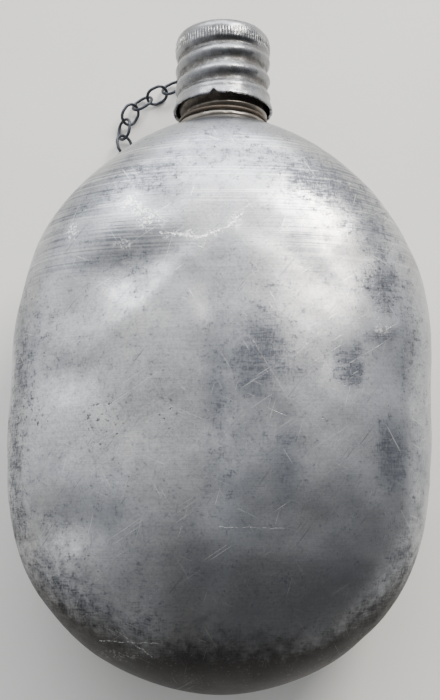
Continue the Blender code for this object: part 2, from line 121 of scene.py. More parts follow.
@dataclass(frozen=True)
class Datum:
    """Where the design coordinates lie in the frame, in metres."""

    neck_x: float
    foot_y: float
    axis_z: float

    @classmethod
    def from_frame(cls) -> "Datum":
        """Read the datum from the carried-over CAD nodes.

        Returns:
            The datum that puts the design origin on the neck's axis at the shell's bottom end.
        """
        low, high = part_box("neck_ferrule")
        foot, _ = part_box("body_shell")
        return cls((low.x + high.x) / 2.0, foot.y, (low.z + high.z) / 2.0)

    def world(self, points: np.ndarray) -> np.ndarray:
        """Turn design millimetres into frame metres.

        Args:
            points: Array whose last axis is x, y, z.

        Returns:
            Array of the same shape in metres.
        """
        return np.asarray(points, float) * MM + np.array([self.neck_x, self.foot_y, self.axis_z])

    def design(self, points: np.ndarray) -> np.ndarray:
        """Turn frame metres into design millimetres.

        Args:
            points: Array whose last axis is x, y, z.

        Returns:
            Array of the same shape in millimetres.
        """
        return (np.asarray(points, float) - np.array([self.neck_x, self.foot_y, self.axis_z])) / MM


def ease(value: np.ndarray, start: float, end: float) -> np.ndarray:
    """Smooth step.

    Args:
        value: Where to evaluate.
        start: Value at which the step begins.
        end: Value at which it is complete.

    Returns:
        0 before start, 1 after end and a smooth step between.
    """
    t = np.clip((np.asarray(value, float) - start) / (end - start), 0.0, 1.0)
    return t * t * (3.0 - 2.0 * t)


def rounded(share: np.ndarray, curve: Tuple[float, float]) -> np.ndarray:
    """Rounded fall from 1 to 0 as share goes from 0 to 1, flat at first by curve's two powers."""
    return (1.0 - share ** curve[0]) ** (1.0 / curve[1])


def waves(points: np.ndarray, length: float, seed: int, terms: int = 14) -> np.ndarray:
    """Smooth aperiodic ripple made of randomly turned sine waves.

    Args:
        points: Array whose last axis is x, y, z in millimetres.
        length: Typical wavelength in millimetres.
        seed: Fixed seed of the directions and phases.
        terms: Number of sine waves.

    Returns:
        Ripple with a spread of about 1.
    """
    rng = np.random.default_rng(seed)
    total = np.zeros(np.asarray(points).shape[:-1])
    for _ in range(terms):
        direction = rng.normal(size=3)
        direction *= 2.0 * math.pi / (length * rng.uniform(0.7, 1.6) * np.linalg.norm(direction))
        total += np.sin(points @ direction + rng.uniform(0.0, 2.0 * math.pi))
    return total * math.sqrt(2.0 / terms)


def ripples(points: np.ndarray, parts: Sequence[Tuple[float, float, int]]) -> np.ndarray:
    """Ripple of several sizes.

    Args:
        points: Array whose last axis is x, y, z in millimetres.
        parts: Height, wavelength and seed of each size.

    Returns:
        Their sum in millimetres.
    """
    return sum(height * waves(points, length, seed) for height, length, seed in parts)


# ------------------------------------------------------------------------------------------------ meshes


def grid_mesh(name: str, rings: np.ndarray, loop: bool = False) -> bpy.types.Mesh:
    """Bridge rings of points into one closed skin with outward faces.

    Args:
        name: Name of the mesh.
        rings: Array (rings, columns, 3) in metres. Without loop, the first and last rings close on a pole.
        loop: Bridge the last ring to the first instead.

    Returns:
        The smooth-shaded mesh.
    """
    count, columns, _ = rings.shape
    points = rings.reshape(-1, 3)
    index = np.arange(count * columns).reshape(count, columns)
    rows = np.vstack([index, index[:1]]) if loop else index
    low, high = rows[:-1], rows[1:]
    quads = np.stack([low, np.roll(low, -1, 1), np.roll(high, -1, 1), high], -1).reshape(-1, 4)
    faces: List[Sequence[int]] = quads.tolist()
    if not loop:
        poles = np.array([rings[0].mean(0), rings[-1].mean(0)])
        points = np.vstack([points, poles])
        first, last = count * columns, count * columns + 1
        for i in range(columns):
            j = (i + 1) % columns
            faces.append((first, int(index[0, j]), int(index[0, i])))
            faces.append((last, int(index[-1, i]), int(index[-1, j])))
    mesh = bpy.data.meshes.new(name)
    mesh.from_pydata(points.tolist(), [], faces)
    a, b, c, d = (points[quads[:, k]] for k in range(4))
    volume = (np.einsum("ij,ij->i", a, np.cross(b, c)) + np.einsum("ij,ij->i", a, np.cross(c, d))).sum()
    if volume < 0.0:
        mesh.flip_normals()
    mesh.shade_smooth()
    mesh.update()
    return mesh


def turned(profile: Pairs, columns: int, shape: Optional[Reshape] = None) -> np.ndarray:
    """Spin a profile about the neck's axis.

    Args:
        profile: Pairs of radius and y in millimetres.
        columns: Points in each ring.
        shape: Optional function of radius, y and angle that returns the radius and y to use.

    Returns:
        Array (rings, columns, 3) in design millimetres.
    """
    radius, y = (np.array(column, float)[:, None] for column in zip(*profile))
    angle = np.linspace(0.0, 2.0 * math.pi, columns, endpoint=False)[None, :]
    radius, y, angle = (np.array(grid) for grid in np.broadcast_arrays(radius, y, angle))
    if shape is not None:
        radius, y = shape(radius, y, angle)
    return np.stack([radius * np.cos(angle), y, radius * np.sin(angle)], -1)


def line_up(pairs: Pairs, step: float) -> List[Tuple[float, float]]:
    """Split a profile so that no part of it is longer than step.

    Args:
        pairs: Corner points of the profile.
        step: Longest part wanted, in millimetres.

    Returns:
        The finer profile.
    """
    fine: List[Tuple[float, float]] = [pairs[0]]
    for (r0, y0), (r1, y1) in zip(pairs, pairs[1:]):
        parts = max(1, math.ceil(math.hypot(r1 - r0, y1 - y0) / step))
        fine += [(r0 + (r1 - r0) * i / parts, y0 + (y1 - y0) * i / parts) for i in range(1, parts + 1)]
    return fine


def link_object(name: str, mesh: bpy.types.Mesh, finish: bpy.types.Material) -> bpy.types.Object:
    """Put a mesh into the scene with one material.

    Args:
        name: Object name.
        mesh: Its mesh, already in frame metres.
        finish: Material of the whole piece.

    Returns:
        The linked object.
    """
    mesh.materials.clear()
    mesh.materials.append(finish)
    obj = bpy.data.objects.new(name, mesh)
    bpy.context.scene.collection.objects.link(obj)
    return obj


# ------------------------------------------------------------------------------------------------ node trees

Value = Union[float, int, "Signal"]


def _operator(operation: str, swapped: bool = False) -> Callable[["Signal", Value], "Signal"]:
    """Arithmetic between a signal and another value.

    Args:
        operation: Operation of the Math node.
        swapped: Whether the other value comes first.

    Returns:
        The method.
    """
    def apply(self: "Signal", other: Value) -> "Signal":
        """One Math node."""
        return self.nodes.math(operation, other, self) if swapped else self.nodes.math(operation, self, other)

    return apply


class Signal:
    """A node's output with ordinary arithmetic."""

    __add__, __radd__ = _operator("ADD"), _operator("ADD", True)
    __sub__, __rsub__ = _operator("SUBTRACT"), _operator("SUBTRACT", True)
    __mul__, __rmul__ = _operator("MULTIPLY"), _operator("MULTIPLY", True)
    __truediv__ = _operator("DIVIDE")

    def __init__(self, nodes: "Nodes", socket: bpy.types.NodeSocket) -> None:
        """Wrap an output socket of a tree."""
        self.nodes = nodes
        self.socket = socket

    def limit(self) -> "Signal":
        """Clamp to 0..1."""
        return self.nodes.math("ADD", self, 0.0, clamp=True)

    def above(self, start: float, end: float) -> "Signal":
        """Smooth step.

        Args:
            start: Value at which the step is 0.
            end: Value at which it is 1, above or below start.

        Returns:
            The step.
        """
        low, high, first, last = (start, end, 0.0, 1.0) if start < end else (end, start, 1.0, 0.0)
        return self.ramp(low, high, first, last)

    def ramp(self, low: float, high: float, first: float, last: float) -> "Signal":
        """Smooth ramp.

        Args:
            low, high: Where it begins and ends, low below high.
            first, last: Its values there.

        Returns:
            The ramp.
        """
        wanted = {"Value": self, "From Min": low, "From Max": high, "To Min": first, "To Max": last}
        return self.nodes.node("ShaderNodeMapRange", {"interpolation_type": "SMOOTHSTEP"}, wanted)


class Nodes:
    """A node tree that is built up by calls."""

    def __init__(self, tree: bpy.types.NodeTree) -> None:
        """Keep the tree."""
        self.tree = tree

    def feed(self, socket: bpy.types.NodeSocket, value: Any) -> None:
        """Set a socket.

        Args:
            socket: An input socket.
            value: Signal, number, colour or material.
        """
        if isinstance(value, Signal):
            self.tree.links.new(value.socket, socket)
        elif isinstance(value, tuple) and socket.type == "RGBA":
            socket.default_value = (*value[:3], 1.0)
        else:
            socket.default_value = value

    def node(self, kind: str, settings: Optional[Dict[str, Any]] = None,
             inputs: Optional[Dict[Union[int, str], Any]] = None, output: Union[int, str] = 0) -> Signal:
        """Add any node.

        Args:
            kind: Node type.
            settings: Attributes of the node.
            inputs: Values or signals by input name or number.
            output: Output wanted.

        Returns:
            The chosen output as a signal.
        """
        made = self.tree.nodes.new(kind)
        for key, value in (settings or {}).items():
            setattr(made, key, value)
        for key, value in (inputs or {}).items():
            self.feed(made.inputs[key], value)
        return Signal(self, made.outputs[output])

    def math(self, operation: str, first: Value, second: Value, clamp: bool = False) -> Signal:
        """One Math node."""
        return self.node("ShaderNodeMath", {"operation": operation, "use_clamp": clamp}, {0: first, 1: second})

    def scaled(self, vector: Signal, amount: Value) -> Signal:
        """A vector times a number."""
        return self.node("ShaderNodeVectorMath", {"operation": "SCALE"}, {0: vector, "Scale": amount})

    def vector(self, x: Value, y: Value, z: Value) -> Signal:
        """Join three values into a vector."""
        return self.node("ShaderNodeCombineXYZ", inputs={"X": x, "Y": y, "Z": z})

    def parts(self, vector: Signal) -> List[Signal]:
        """Split a vector.

        Args:
            vector: The vector.

        Returns:
            Its x, y and z.
        """
        made = self.tree.nodes.new("ShaderNodeSeparateXYZ")
        self.feed(made.inputs[0], vector)
        return [Signal(self, socket) for socket in made.outputs]


# ------------------------------------------------------------------------------------------------ geometry nodes


class GeometryTree(Nodes):
    """A Geometry Nodes tree with named inputs, closed with Realize Instances and Set Material."""

    def __init__(self, name: str) -> None:
        """Start a tree with a geometry input and a geometry output.

        Args:
            name: Name of the node group.
        """
        super().__init__(bpy.data.node_groups.new(name, "GeometryNodeTree"))
        for side in ("INPUT", "OUTPUT"):
            self.tree.interface.new_socket("Geometry", in_out=side, socket_type="NodeSocketGeometry")
        self.entry = self.tree.nodes.new("NodeGroupInput")
        self.identifiers: Dict[str, str] = {}

    def declare(self, **kinds: str) -> List[Signal]:
        """Add named inputs.

        Args:
            kinds: Socket type of each input, such as Float, by its name with underscores for spaces.

        Returns:
            Their signals.
        """
        for key, kind in kinds.items():
            name = key.replace("_", " ")
            item = self.tree.interface.new_socket(name, in_out="INPUT", socket_type="NodeSocket" + kind)
            self.identifiers[name] = item.identifier
        return [Signal(self, self.entry.outputs[key.replace("_", " ")]) for key in kinds]

    def close(self, geometry: Signal, finish: Signal) -> None:
        """End the tree.

        Args:
            geometry: The finished geometry.
            finish: The material input.
        """
        smooth = self.node("GeometryNodeSetShadeSmooth", inputs={"Geometry": geometry})
        real = self.node("GeometryNodeRealizeInstances", inputs={"Geometry": smooth})
        painted = self.node("GeometryNodeSetMaterial", inputs={"Geometry": real, "Material": finish})
        self.feed(self.tree.nodes.new("NodeGroupOutput").inputs["Geometry"], painted)

    def grow(self, name: str, base: bpy.types.Mesh, finish: bpy.types.Material,
             values: Dict[str, Any]) -> bpy.types.Object:
        """Run the tree on a mesh and keep the result as a plain mesh.

        Args:
            name: Name of the piece.
            base: Mesh that the tree starts from.
            finish: Its material.
            values: The other inputs by name.

        Returns:
            The piece, with no modifier left.
        """
        obj = bpy.data.objects.new(name, base)
        bpy.context.scene.collection.objects.link(obj)
        modifier = obj.modifiers.new("grow", "NODES")
        modifier.node_group = self.tree
        for key, value in {**values, "Material": finish}.items():
            modifier[self.identifiers[key]] = value
        obj.update_tag()
        bpy.context.view_layer.update()
        evaluated = obj.evaluated_get(bpy.context.evaluated_depsgraph_get())
        mesh = bpy.data.meshes.new_from_object(evaluated)
        mesh.name = name
        obj.modifiers.clear()
        obj.data = mesh
        if not mesh.materials:
            mesh.materials.append(finish)
        return obj


@dataclass(frozen=True)
class Wire:
    """A wire: radius, sides, length of its steps and unevenness in millimetres, and how fine that is."""

    radius: float
    sides: int
    step: float
    uneven: float
    grain: float


class WireTree(GeometryTree):
    """Turns a path of edges into round, slightly uneven wire."""

    def __init__(self) -> None:
        """Build the tree."""
        super().__init__("uneven_wire")
        radius, sides, step, wander, grain, seed, finish = self.declare(
            Wire_radius="Float", Sides="Int", Step="Float", Unevenness="Float", Grain="Float", Seed="Float",
            Material="Material")
        path = self.node("GeometryNodeMeshToCurve", inputs={"Mesh": Signal(self, self.entry.outputs["Geometry"])})
        even = self.node("GeometryNodeResampleCurve", {"mode": "LENGTH"}, {"Curve": path, "Length": step})
        ring = self.node("GeometryNodeCurvePrimitiveCircle", inputs={"Resolution": sides, "Radius": radius})
        tube = self.node("GeometryNodeCurveToMesh", inputs={"Curve": even, "Profile Curve": ring, "Fill Caps": True})
        noise = self.node("ShaderNodeTexNoise", {"noise_dimensions": "4D"},
                          {"W": seed, "Scale": grain, "Detail": 3.0, "Roughness": 0.6}, "Fac")
        offset = self.scaled(self.node("GeometryNodeInputNormal"), (noise - 0.5) * wander)
        rough = self.node("GeometryNodeSetPosition", inputs={"Geometry": tube, "Offset": offset})
        self.close(rough, finish)

    def lay(self, paths: bpy.types.Mesh, wire: Wire, finish: bpy.types.Material, seed: float) -> bpy.types.Object:
        """Lay wire along paths.

        Args:
            paths: Mesh of edges, named as the piece.
            wire: The wire.
            finish: Its material.
            seed: Seed of its unevenness.

        Returns:
            The piece.
        """
        return self.grow(paths.name, paths, finish, {
            "Wire radius": wire.radius * MM, "Sides": wire.sides, "Step": wire.step * MM,
            "Unevenness": wire.uneven * MM, "Grain": wire.grain, "Seed": seed})


class KnurlTree(GeometryTree):
    """Stamps small raised marks round a ring whose axis is Y."""

    def __init__(self) -> None:
        """Build the tree."""
        super().__init__("knurl_ring")
        count, radius, size, centre, stray, seed, finish = self.declare(
            Count="Int", Radius="Float", Mark_size="Vector", Centre="Vector", Stray="Float", Seed="Int",
            Material="Material")
        ring = self.node("GeometryNodeMeshCircle", inputs={"Vertices": count, "Radius": radius})
        down, up = (self.scaled(self.vector(0.0, 0.0, sign), stray) for sign in (-1.0, 1.0))
        shift = self.node("FunctionNodeRandomValue", {"data_type": "FLOAT_VECTOR"},
                          {"Min": down, "Max": up, "Seed": seed})
        loose = self.node("GeometryNodeSetPosition", inputs={"Geometry": ring, "Offset": shift})
        mark = self.node("GeometryNodeMeshUVSphere", inputs={"Segments": 8, "Rings": 5, "Radius": 1.0})
        shaped = self.node("GeometryNodeTransform", inputs={"Geometry": mark, "Scale": size})
        facing = self.node("FunctionNodeAlignRotationToVector", {"axis": "X"},
                           {"Vector": self.node("GeometryNodeInputPosition")})
        worn = self.node("FunctionNodeRandomValue", {"data_type": "FLOAT_VECTOR"},
                         {"Min": (0.55, 0.6, 0.45), "Max": (1.0, 1.25, 1.0), "Seed": seed})
        stamped = self.node("GeometryNodeInstanceOnPoints",
                            inputs={"Points": loose, "Instance": shaped, "Rotation": facing, "Scale": worn})
        upright = self.node("GeometryNodeTransform",
                            inputs={"Geometry": stamped, "Translation": centre, "Rotation": (-math.pi / 2.0, 0.0, 0.0)})
        self.close(upright, finish)


def path_mesh(name: str, paths: Sequence[Tuple[np.ndarray, bool]], datum: Datum) -> bpy.types.Mesh:
    """Edges along one or more paths.

    Args:
        name: Mesh name.
        paths: Points in design millimetres, each with whether the path closes on itself.
        datum: The frame's datum.

    Returns:
        A mesh of edges only.
    """
    points: List[List[float]] = []
    edges: List[Tuple[int, int]] = []
    for path, closed in paths:
        start = len(points)
        points += datum.world(path).tolist()
        edges += [(start + i, start + i + 1) for i in range(len(path) - 1)]
        if closed:
            edges.append((start + len(path) - 1, start))
    mesh = bpy.data.meshes.new(name)
    mesh.from_pydata(points, edges, [])
    mesh.update()
    return mesh


# ------------------------------------------------------------------------------------------------ shaders

Place = Tuple[Signal, Signal, Signal]
Tint = Union[Colour, Signal]


@dataclass(frozen=True)
class Scratch:
    """A straight scratch on the front in millimetres: its ends, its width and how bright it is."""

    from_x: float
    from_y: float
    to_x: float
    to_y: float
    width: float
    bright: float = 1.0


class Graph(Nodes):
    """A material's node graph round one Principled shader."""

    def __init__(self, name: str, datum: Datum) -> None:
        """Start a material.

        Args:
            name: Material name.
            datum: The frame's datum.
        """
        self.material = bpy.data.materials.new(name)
        self.material.use_nodes = True
        super().__init__(self.material.node_tree)
        self.shader = self.tree.nodes["Principled BSDF"]
        self.datum = datum

    def place(self) -> Place:
        """Design coordinates of the shaded point.

        Returns:
            x, y and z in millimetres.
        """
        datum = self.datum
        x, y, z = self.parts(self.node("ShaderNodeTexCoord", output="Object"))
        return (x - datum.neck_x) * PER_METRE, (y - datum.foot_y) * PER_METRE, (z - datum.axis_z) * PER_METRE

    def noise(self, where: Signal, scale: float, detail: float, roughness: float, distortion: float,
              seed: float) -> Signal:
        """Noise from about 0 to 1.

        Args:
            where: Point at which to read it.
            scale: Changes in a unit of length.
            detail, roughness, distortion: The texture's own settings.
            seed: Its fourth coordinate.

        Returns:
            The noise.
        """
        return self.node("ShaderNodeTexNoise", {"noise_dimensions": "4D"},
                         {"Vector": where, "W": seed, "Scale": scale, "Detail": detail, "Roughness": roughness,
                          "Distortion": distortion}, "Fac")

    def cells(self, where: Signal, scale: float, feature: str = "F1") -> Signal:
        """Distance to the nearest of many scattered points, or to the edges between them, in cells."""
        return self.node("ShaderNodeTexVoronoi", {"feature": feature}, {"Vector": where, "Scale": scale}, "Distance")

    def mask(self, which: Mask) -> Signal:
        """A per-vertex mark of the piece."""
        return self.node("ShaderNodeAttribute", {"attribute_name": which.value}, output="Fac")

    def blend(self, amount: Value, first: Tint, second: Tint) -> Signal:
        """Mix two colours.

        Args:
            amount: Share of the second colour.
            first, second: The colours.

        Returns:
            The mixed colour.
        """
        return self.node("ShaderNodeMix", {"data_type": "RGBA"}, {0: amount, 6: first, 7: second}, 2)

    def coats(self, colour: Tint, layers: Sequence[Tuple[Signal, Tint]]) -> Signal:
        """Lay colours over one another.

        Args:
            colour: The lowest colour.
            layers: How much of which colour comes on top, in order.

        Returns:
            The final colour.
        """
        for amount, tint in layers:
            colour = self.blend(amount.limit(), colour, tint)
        return colour

    def strokes(self, place: Place, degrees: float, fine: float, long: float, seed: float) -> Signal:
        """Fine parallel strokes as stretched noise.

        Args:
            place: Design coordinates.
            degrees: Direction of the strokes from +x towards +y.
            fine: Strokes in a millimetre across.
            long: Changes in a millimetre along.
            seed: Noise seed.

        Returns:
            Noise that is long one way and fine the other.
        """
        x, y, z = place
        c, s = math.cos(math.radians(degrees)), math.sin(math.radians(degrees))
        along, across = x * c + y * s, y * c - x * s
        return self.noise(self.vector(along * long, across * fine, z * long), 1.0, 2.0, 0.5, 0.0, seed)

    def scratch(self, x: Signal, y: Signal, mark: Scratch) -> Signal:
        """One straight scratch across the face.

        Args:
            x, y: Design coordinates.
            mark: Where it runs.

        Returns:
            1 on the scratch and 0 off it.
        """
        run, rise = mark.to_x - mark.from_x, mark.to_y - mark.from_y
        length = math.hypot(run, rise)
        dx, dy = x - mark.from_x, y - mark.from_y
        along = ((dx * run + dy * rise) / (length * length)).limit()
        ox, oy = dx - along * run, dy - along * rise
        apart = self.math("SQRT", ox * ox + oy * oy, 0.0)
        return apart.above(mark.width * 0.75, mark.width * 0.25)

    def relief(self, height: Signal, strength: float) -> None:
        """Feed a height in millimetres to the shader's normal."""
        wanted = {"Strength": strength, "Distance": MM, "Height": height}
        self.feed(self.shader.inputs["Normal"], self.node("ShaderNodeBump", inputs=wanted, output="Normal"))

    def paint(self, **inputs: Any) -> bpy.types.Material:
        """Set the shader's inputs and return the material.

        Args:
            inputs: Shader inputs, with underscores for spaces.

        Returns:
            The material.
        """
        for key, value in inputs.items():
            self.feed(self.shader.inputs[key.replace("_", " ")], value)
        return self.material


# ------------------------------------------------------------------------------------------------ finishes


@dataclass(frozen=True)
class ShellFinish:
    """Worn satin aluminium with turning lines, smudges, pits and scratches; the smudges and the dark bottom also carry
    painted shade, and bright patches are painted highlights.
    """

    cool: Colour = (0.430, 0.445, 0.480)
    plain: Colour = (0.570, 0.572, 0.584)
    warm: Colour = (0.520, 0.500, 0.465)
    # near-white colour of the painted highlights
    highlight_white: Colour = (0.93, 0.925, 0.92)
    clouded: Colour = (0.33, 0.34, 0.36)
    speckled: Colour = (0.24, 0.25, 0.27)
    # dark bluish tint of the film, which carries painted shade from the smudge marks
    film_and_shade_tint: Colour = (0.15, 0.162, 0.188)
    darker_top: Colour = (0.30, 0.315, 0.35)
    dark_turning: Colour = (0.11, 0.12, 0.142)
    bright_turning: Colour = (0.86, 0.86, 0.86)
    # dark tints of the dirt and smudge marks, which also carry painted shade
    grime_and_shade: Colour = (0.040, 0.043, 0.050)
    thin_grime_and_shade: Colour = (0.120, 0.130, 0.158)
    scored: Colour = (0.16, 0.165, 0.175)
    # near-black bottom colour: real soot with painted shade; the scuffed tint is lighter wear on it
    soot_and_shade: Colour = (0.012, 0.010, 0.009)
    scuffed_soot_and_shade: Colour = (0.15, 0.135, 0.12)
    bare: Colour = (0.930, 0.930, 0.920)
    roughness: float = 0.305
    relief: float = 0.8
    lines_from: float = 112.0
    lines_to: float = 172.0
    layers: Tuple[Tuple[float, ...], ...] = (
        (0.022, 3.0, 0.55, 0.3, 1.0), (0.075, 4.0, 0.6, 0.4, 2.0), (0.33, 5.0, 0.65, 0.5, 3.0),
        (1.3, 4.0, 0.7, 0.0, 4.0), (5.0, 2.0, 0.6, 0.0, 5.0),
    )
    fine_strokes: Tuple[Tuple[float, ...], ...] = (
        (33.0, 2.6, 0.040, 11.0, 0.66, 0.72), (-24.0, 2.4, 0.060, 12.0, 0.67, 0.73),
        (74.0, 2.8, 0.070, 13.0, 0.67, 0.73), (121.0, 2.5, 0.065, 14.0, 0.67, 0.73),
    )
    scratches: Tuple[Scratch, ...] = (
        Scratch(-18.3, 133.0, -12.0, 132.6, 0.55), Scratch(-12.0, 132.6, -6.7, 131.4, 0.40),
        Scratch(-6.7, 131.4, 1.0, 134.6, 0.50), Scratch(1.0, 134.6, 5.8, 139.2, 0.45),
        Scratch(-24.0, 140.6, -20.6, 139.0, 0.50), Scratch(-23.2, 138.0, -21.4, 137.0, 0.40),
        Scratch(-45.2, 136.6, -44.6, 134.6, 0.45), Scratch(-35.0, 17.2, -17.6, 17.0, 0.26, 0.4),
        Scratch(-30.0, 20.5, -20.0, 13.0, 0.24, 0.35), Scratch(-1.0, 48.9, 16.8, 48.4, 0.24, 0.35),
        Scratch(8.0, 101.0, 18.0, 84.0, 0.20, 0.25), Scratch(20.0, 96.0, 29.0, 105.0, 0.20, 0.22),
        Scratch(-12.0, 88.0, -6.0, 80.0, 0.18, 0.2), Scratch(28.0, 63.0, 38.0, 70.0, 0.18, 0.2),
    )

    def build(self, datum: Datum) -> bpy.types.Material:
        """Build the material.

        Args:
            datum: The frame's datum.

        Returns:
            The shell's material.
        """
        g = Graph("worn_shell_aluminium", datum)
        place = x, y, z = g.place()
        here = g.vector(x, y, z)
        broad, cloud, mottle, speck, grain = (g.noise(here, *layer) for layer in self.layers)

        shoulder = y.above(self.lines_from, self.lines_from + 26.0) * y.above(self.lines_to, self.lines_to - 8.0)
        turning = g.strokes(place, 0.0, 1.9, 0.012, 6.0)
        hairline = g.strokes(place, 1.0, 3.0, 0.03, 7.0)
        flank = g.math("ABSOLUTE", x, 0.0).above(8.0, 32.0)
        lines = turning.above(0.52, 0.60) * shoulder * (0.15 + 0.85 * cloud.above(0.38, 0.58)) * (0.30 + 0.70 * flank)
        bright_lines = turning.above(0.44, 0.36) * shoulder * cloud.above(0.60, 0.42)

        smear = g.noise(g.vector(x * 0.16, y * 0.55, z * 0.16), 1.0, 5.0, 0.68, 0.6, 8.0)
        # smudge marks: real smudges and dirt, with painted shade along the dent valleys and down both rims; they feed
        # the dirt and film layers below
        smudge_and_shade = g.mask(Mask.SMUDGE_AND_SHADE)
        weave = g.strokes(place, 2.0, 2.5, 0.30, 17.0) * 0.55 + g.strokes(place, 86.0, 2.7, 0.34, 18.0) * 0.45
        pattern = smear * 0.22 + mottle * 0.30 + speck * 0.28 + weave * 0.20
        dirt_and_shade = ((pattern - 0.5) * 7.5 + smudge_and_shade * 1.05 - 0.62).above(-0.25, 0.85)
        dirt_and_shade = dirt_and_shade * (0.55 + 0.60 * weave.above(0.38, 0.58)) * (0.60 + 0.55 * speck.above(0.36, 0.58))
        film_and_shade = (smudge_and_shade * 0.75 + (cloud - 0.5) * 1.1 + (mottle - 0.5) * 0.5).above(0.05, 0.80)
        freckle = (speck * 0.60 + mottle * 0.40).above(0.555, 0.63) * cloud.above(0.34, 0.58)

        bent = g.vector(x + (mottle - 0.5) * 4.0 + (grain - 0.5) * 1.2, y + (speck - 0.5) * 3.0, z)
        hole = g.cells(bent, 0.66).above(0.40, 0.20) * g.noise(here, 0.9, 2.0, 0.6, 0.0, 9.0).above(0.44, 0.54)
        pits = hole * g.mask(Mask.PITTING).above(0.18, 0.60)
        stray = g.cells(here, 0.21).above(0.075, 0.045) * g.noise(here, 0.5, 1.0, 0.5, 0.0, 10.0).above(0.50, 0.60)
        pitted = (pits + stray * 0.8).limit()

        fine = sum((g.strokes(place, *stroke).above(start, end) for *stroke, start, end in self.fine_strokes), 0.0)
        fine_lines = fine.limit() * cloud.above(0.38, 0.60)
        dark_lines = g.strokes(place, 52.0, 2.2, 0.070, 15.0).above(0.66, 0.72) * cloud.above(0.62, 0.44)
        shaky_x, shaky_y = x + (speck - 0.5) * 1.4, y + (mottle - 0.5) * 1.8
        deep = sum((g.scratch(shaky_x, shaky_y, mark) * mark.bright for mark in self.scratches), 0.0)
        deep = (deep * (0.10 + speck.above(0.44, 0.56)) * (0.4 + grain.above(0.40, 0.60))).limit() * z.above(0.0, 4.0)
        chips = g.mask(Mask.RUBBED).above(0.25, 0.80) * (speck * 0.6 + mottle * 0.4).above(0.495, 0.555)
        bare = (deep + chips).limit()

        # Bottom darkening: real soot, plus painted shade and a painted dark reflection of the shaded floor along the
        # lower rims; scuffed lighter in places.
        soot_and_shade_level = g.mask(Mask.SOOT_AND_SHADE) + (mottle - 0.5) * 0.9 + (cloud - 0.5) * 1.0 + (weave - 0.5) * 0.6
        soot_and_shade = soot_and_shade_level.above(0.0, 1.45)
        scuffs = (fine_lines * 0.5 + speck.above(0.56, 0.66) * 0.5).limit()
        dust = hairline.above(0.42, 0.60) * 0.14 + grain.above(0.42, 0.58) * 0.28 + speck.above(0.44, 0.60) * 0.26
        colour = g.coats(self.cool, (
            (broad.above(0.38, 0.62), self.plain),
            (g.noise(here, 0.03, 2.0, 0.5, 0.2, 16.0).above(0.50, 0.68) * 0.75, self.warm),
            # painted highlights: near-white patches where the dents should catch bright reflections
            (g.mask(Mask.PAINTED_HIGHLIGHT) * 0.85, self.highlight_white),
            (cloud.above(0.35, 0.65) * 0.28 + mottle.above(0.35, 0.65) * 0.28, self.clouded),
            (dust, self.speckled),
            (film_and_shade * 0.62, self.film_and_shade_tint),
            # darker towards the neck end of the shoulder
            (y.above(146.0, 172.0) * (0.25 + 0.5 * cloud), self.darker_top),
            (lines * 0.85, self.dark_turning),
            (bright_lines * 0.45, self.bright_turning),
            (dirt_and_shade * 0.92 + freckle * 0.55, g.blend(speck.above(0.42, 0.62), self.grime_and_shade, self.thin_grime_and_shade)),
            (dark_lines * 0.75, self.scored),
            (fine_lines * 0.50, self.bare),
            (pitted * 0.9, self.grime_and_shade),
            (soot_and_shade * 0.95, g.blend(scuffs, self.soot_and_shade, self.scuffed_soot_and_shade)),
            (bare, self.bare),
        ))

        rough = self.roughness + (cloud - 0.5) * 0.16 + (mottle - 0.5) * 0.10 + dirt_and_shade * 0.20 + pitted * 0.25
        rough = rough + lines * 0.06 + soot_and_shade * 0.20 - fine_lines * 0.05 - bare * 0.04
        metal = 1.0 - (dirt_and_shade * 0.12 + soot_and_shade * 0.20 + pitted * 0.4 + film_and_shade * 0.06).limit()
        height = hairline * 0.006 + turning * 0.018 * shoulder + mottle * 0.030 + speck * 0.008 - pitted * 0.035
        height = height - fine_lines * 0.014 - deep * 0.05 - dark_lines * 0.014 + dirt_and_shade * 0.010
        g.relief(height, self.relief)
        return g.paint(Base_Color=colour, Roughness=rough.limit(), Metallic=metal)


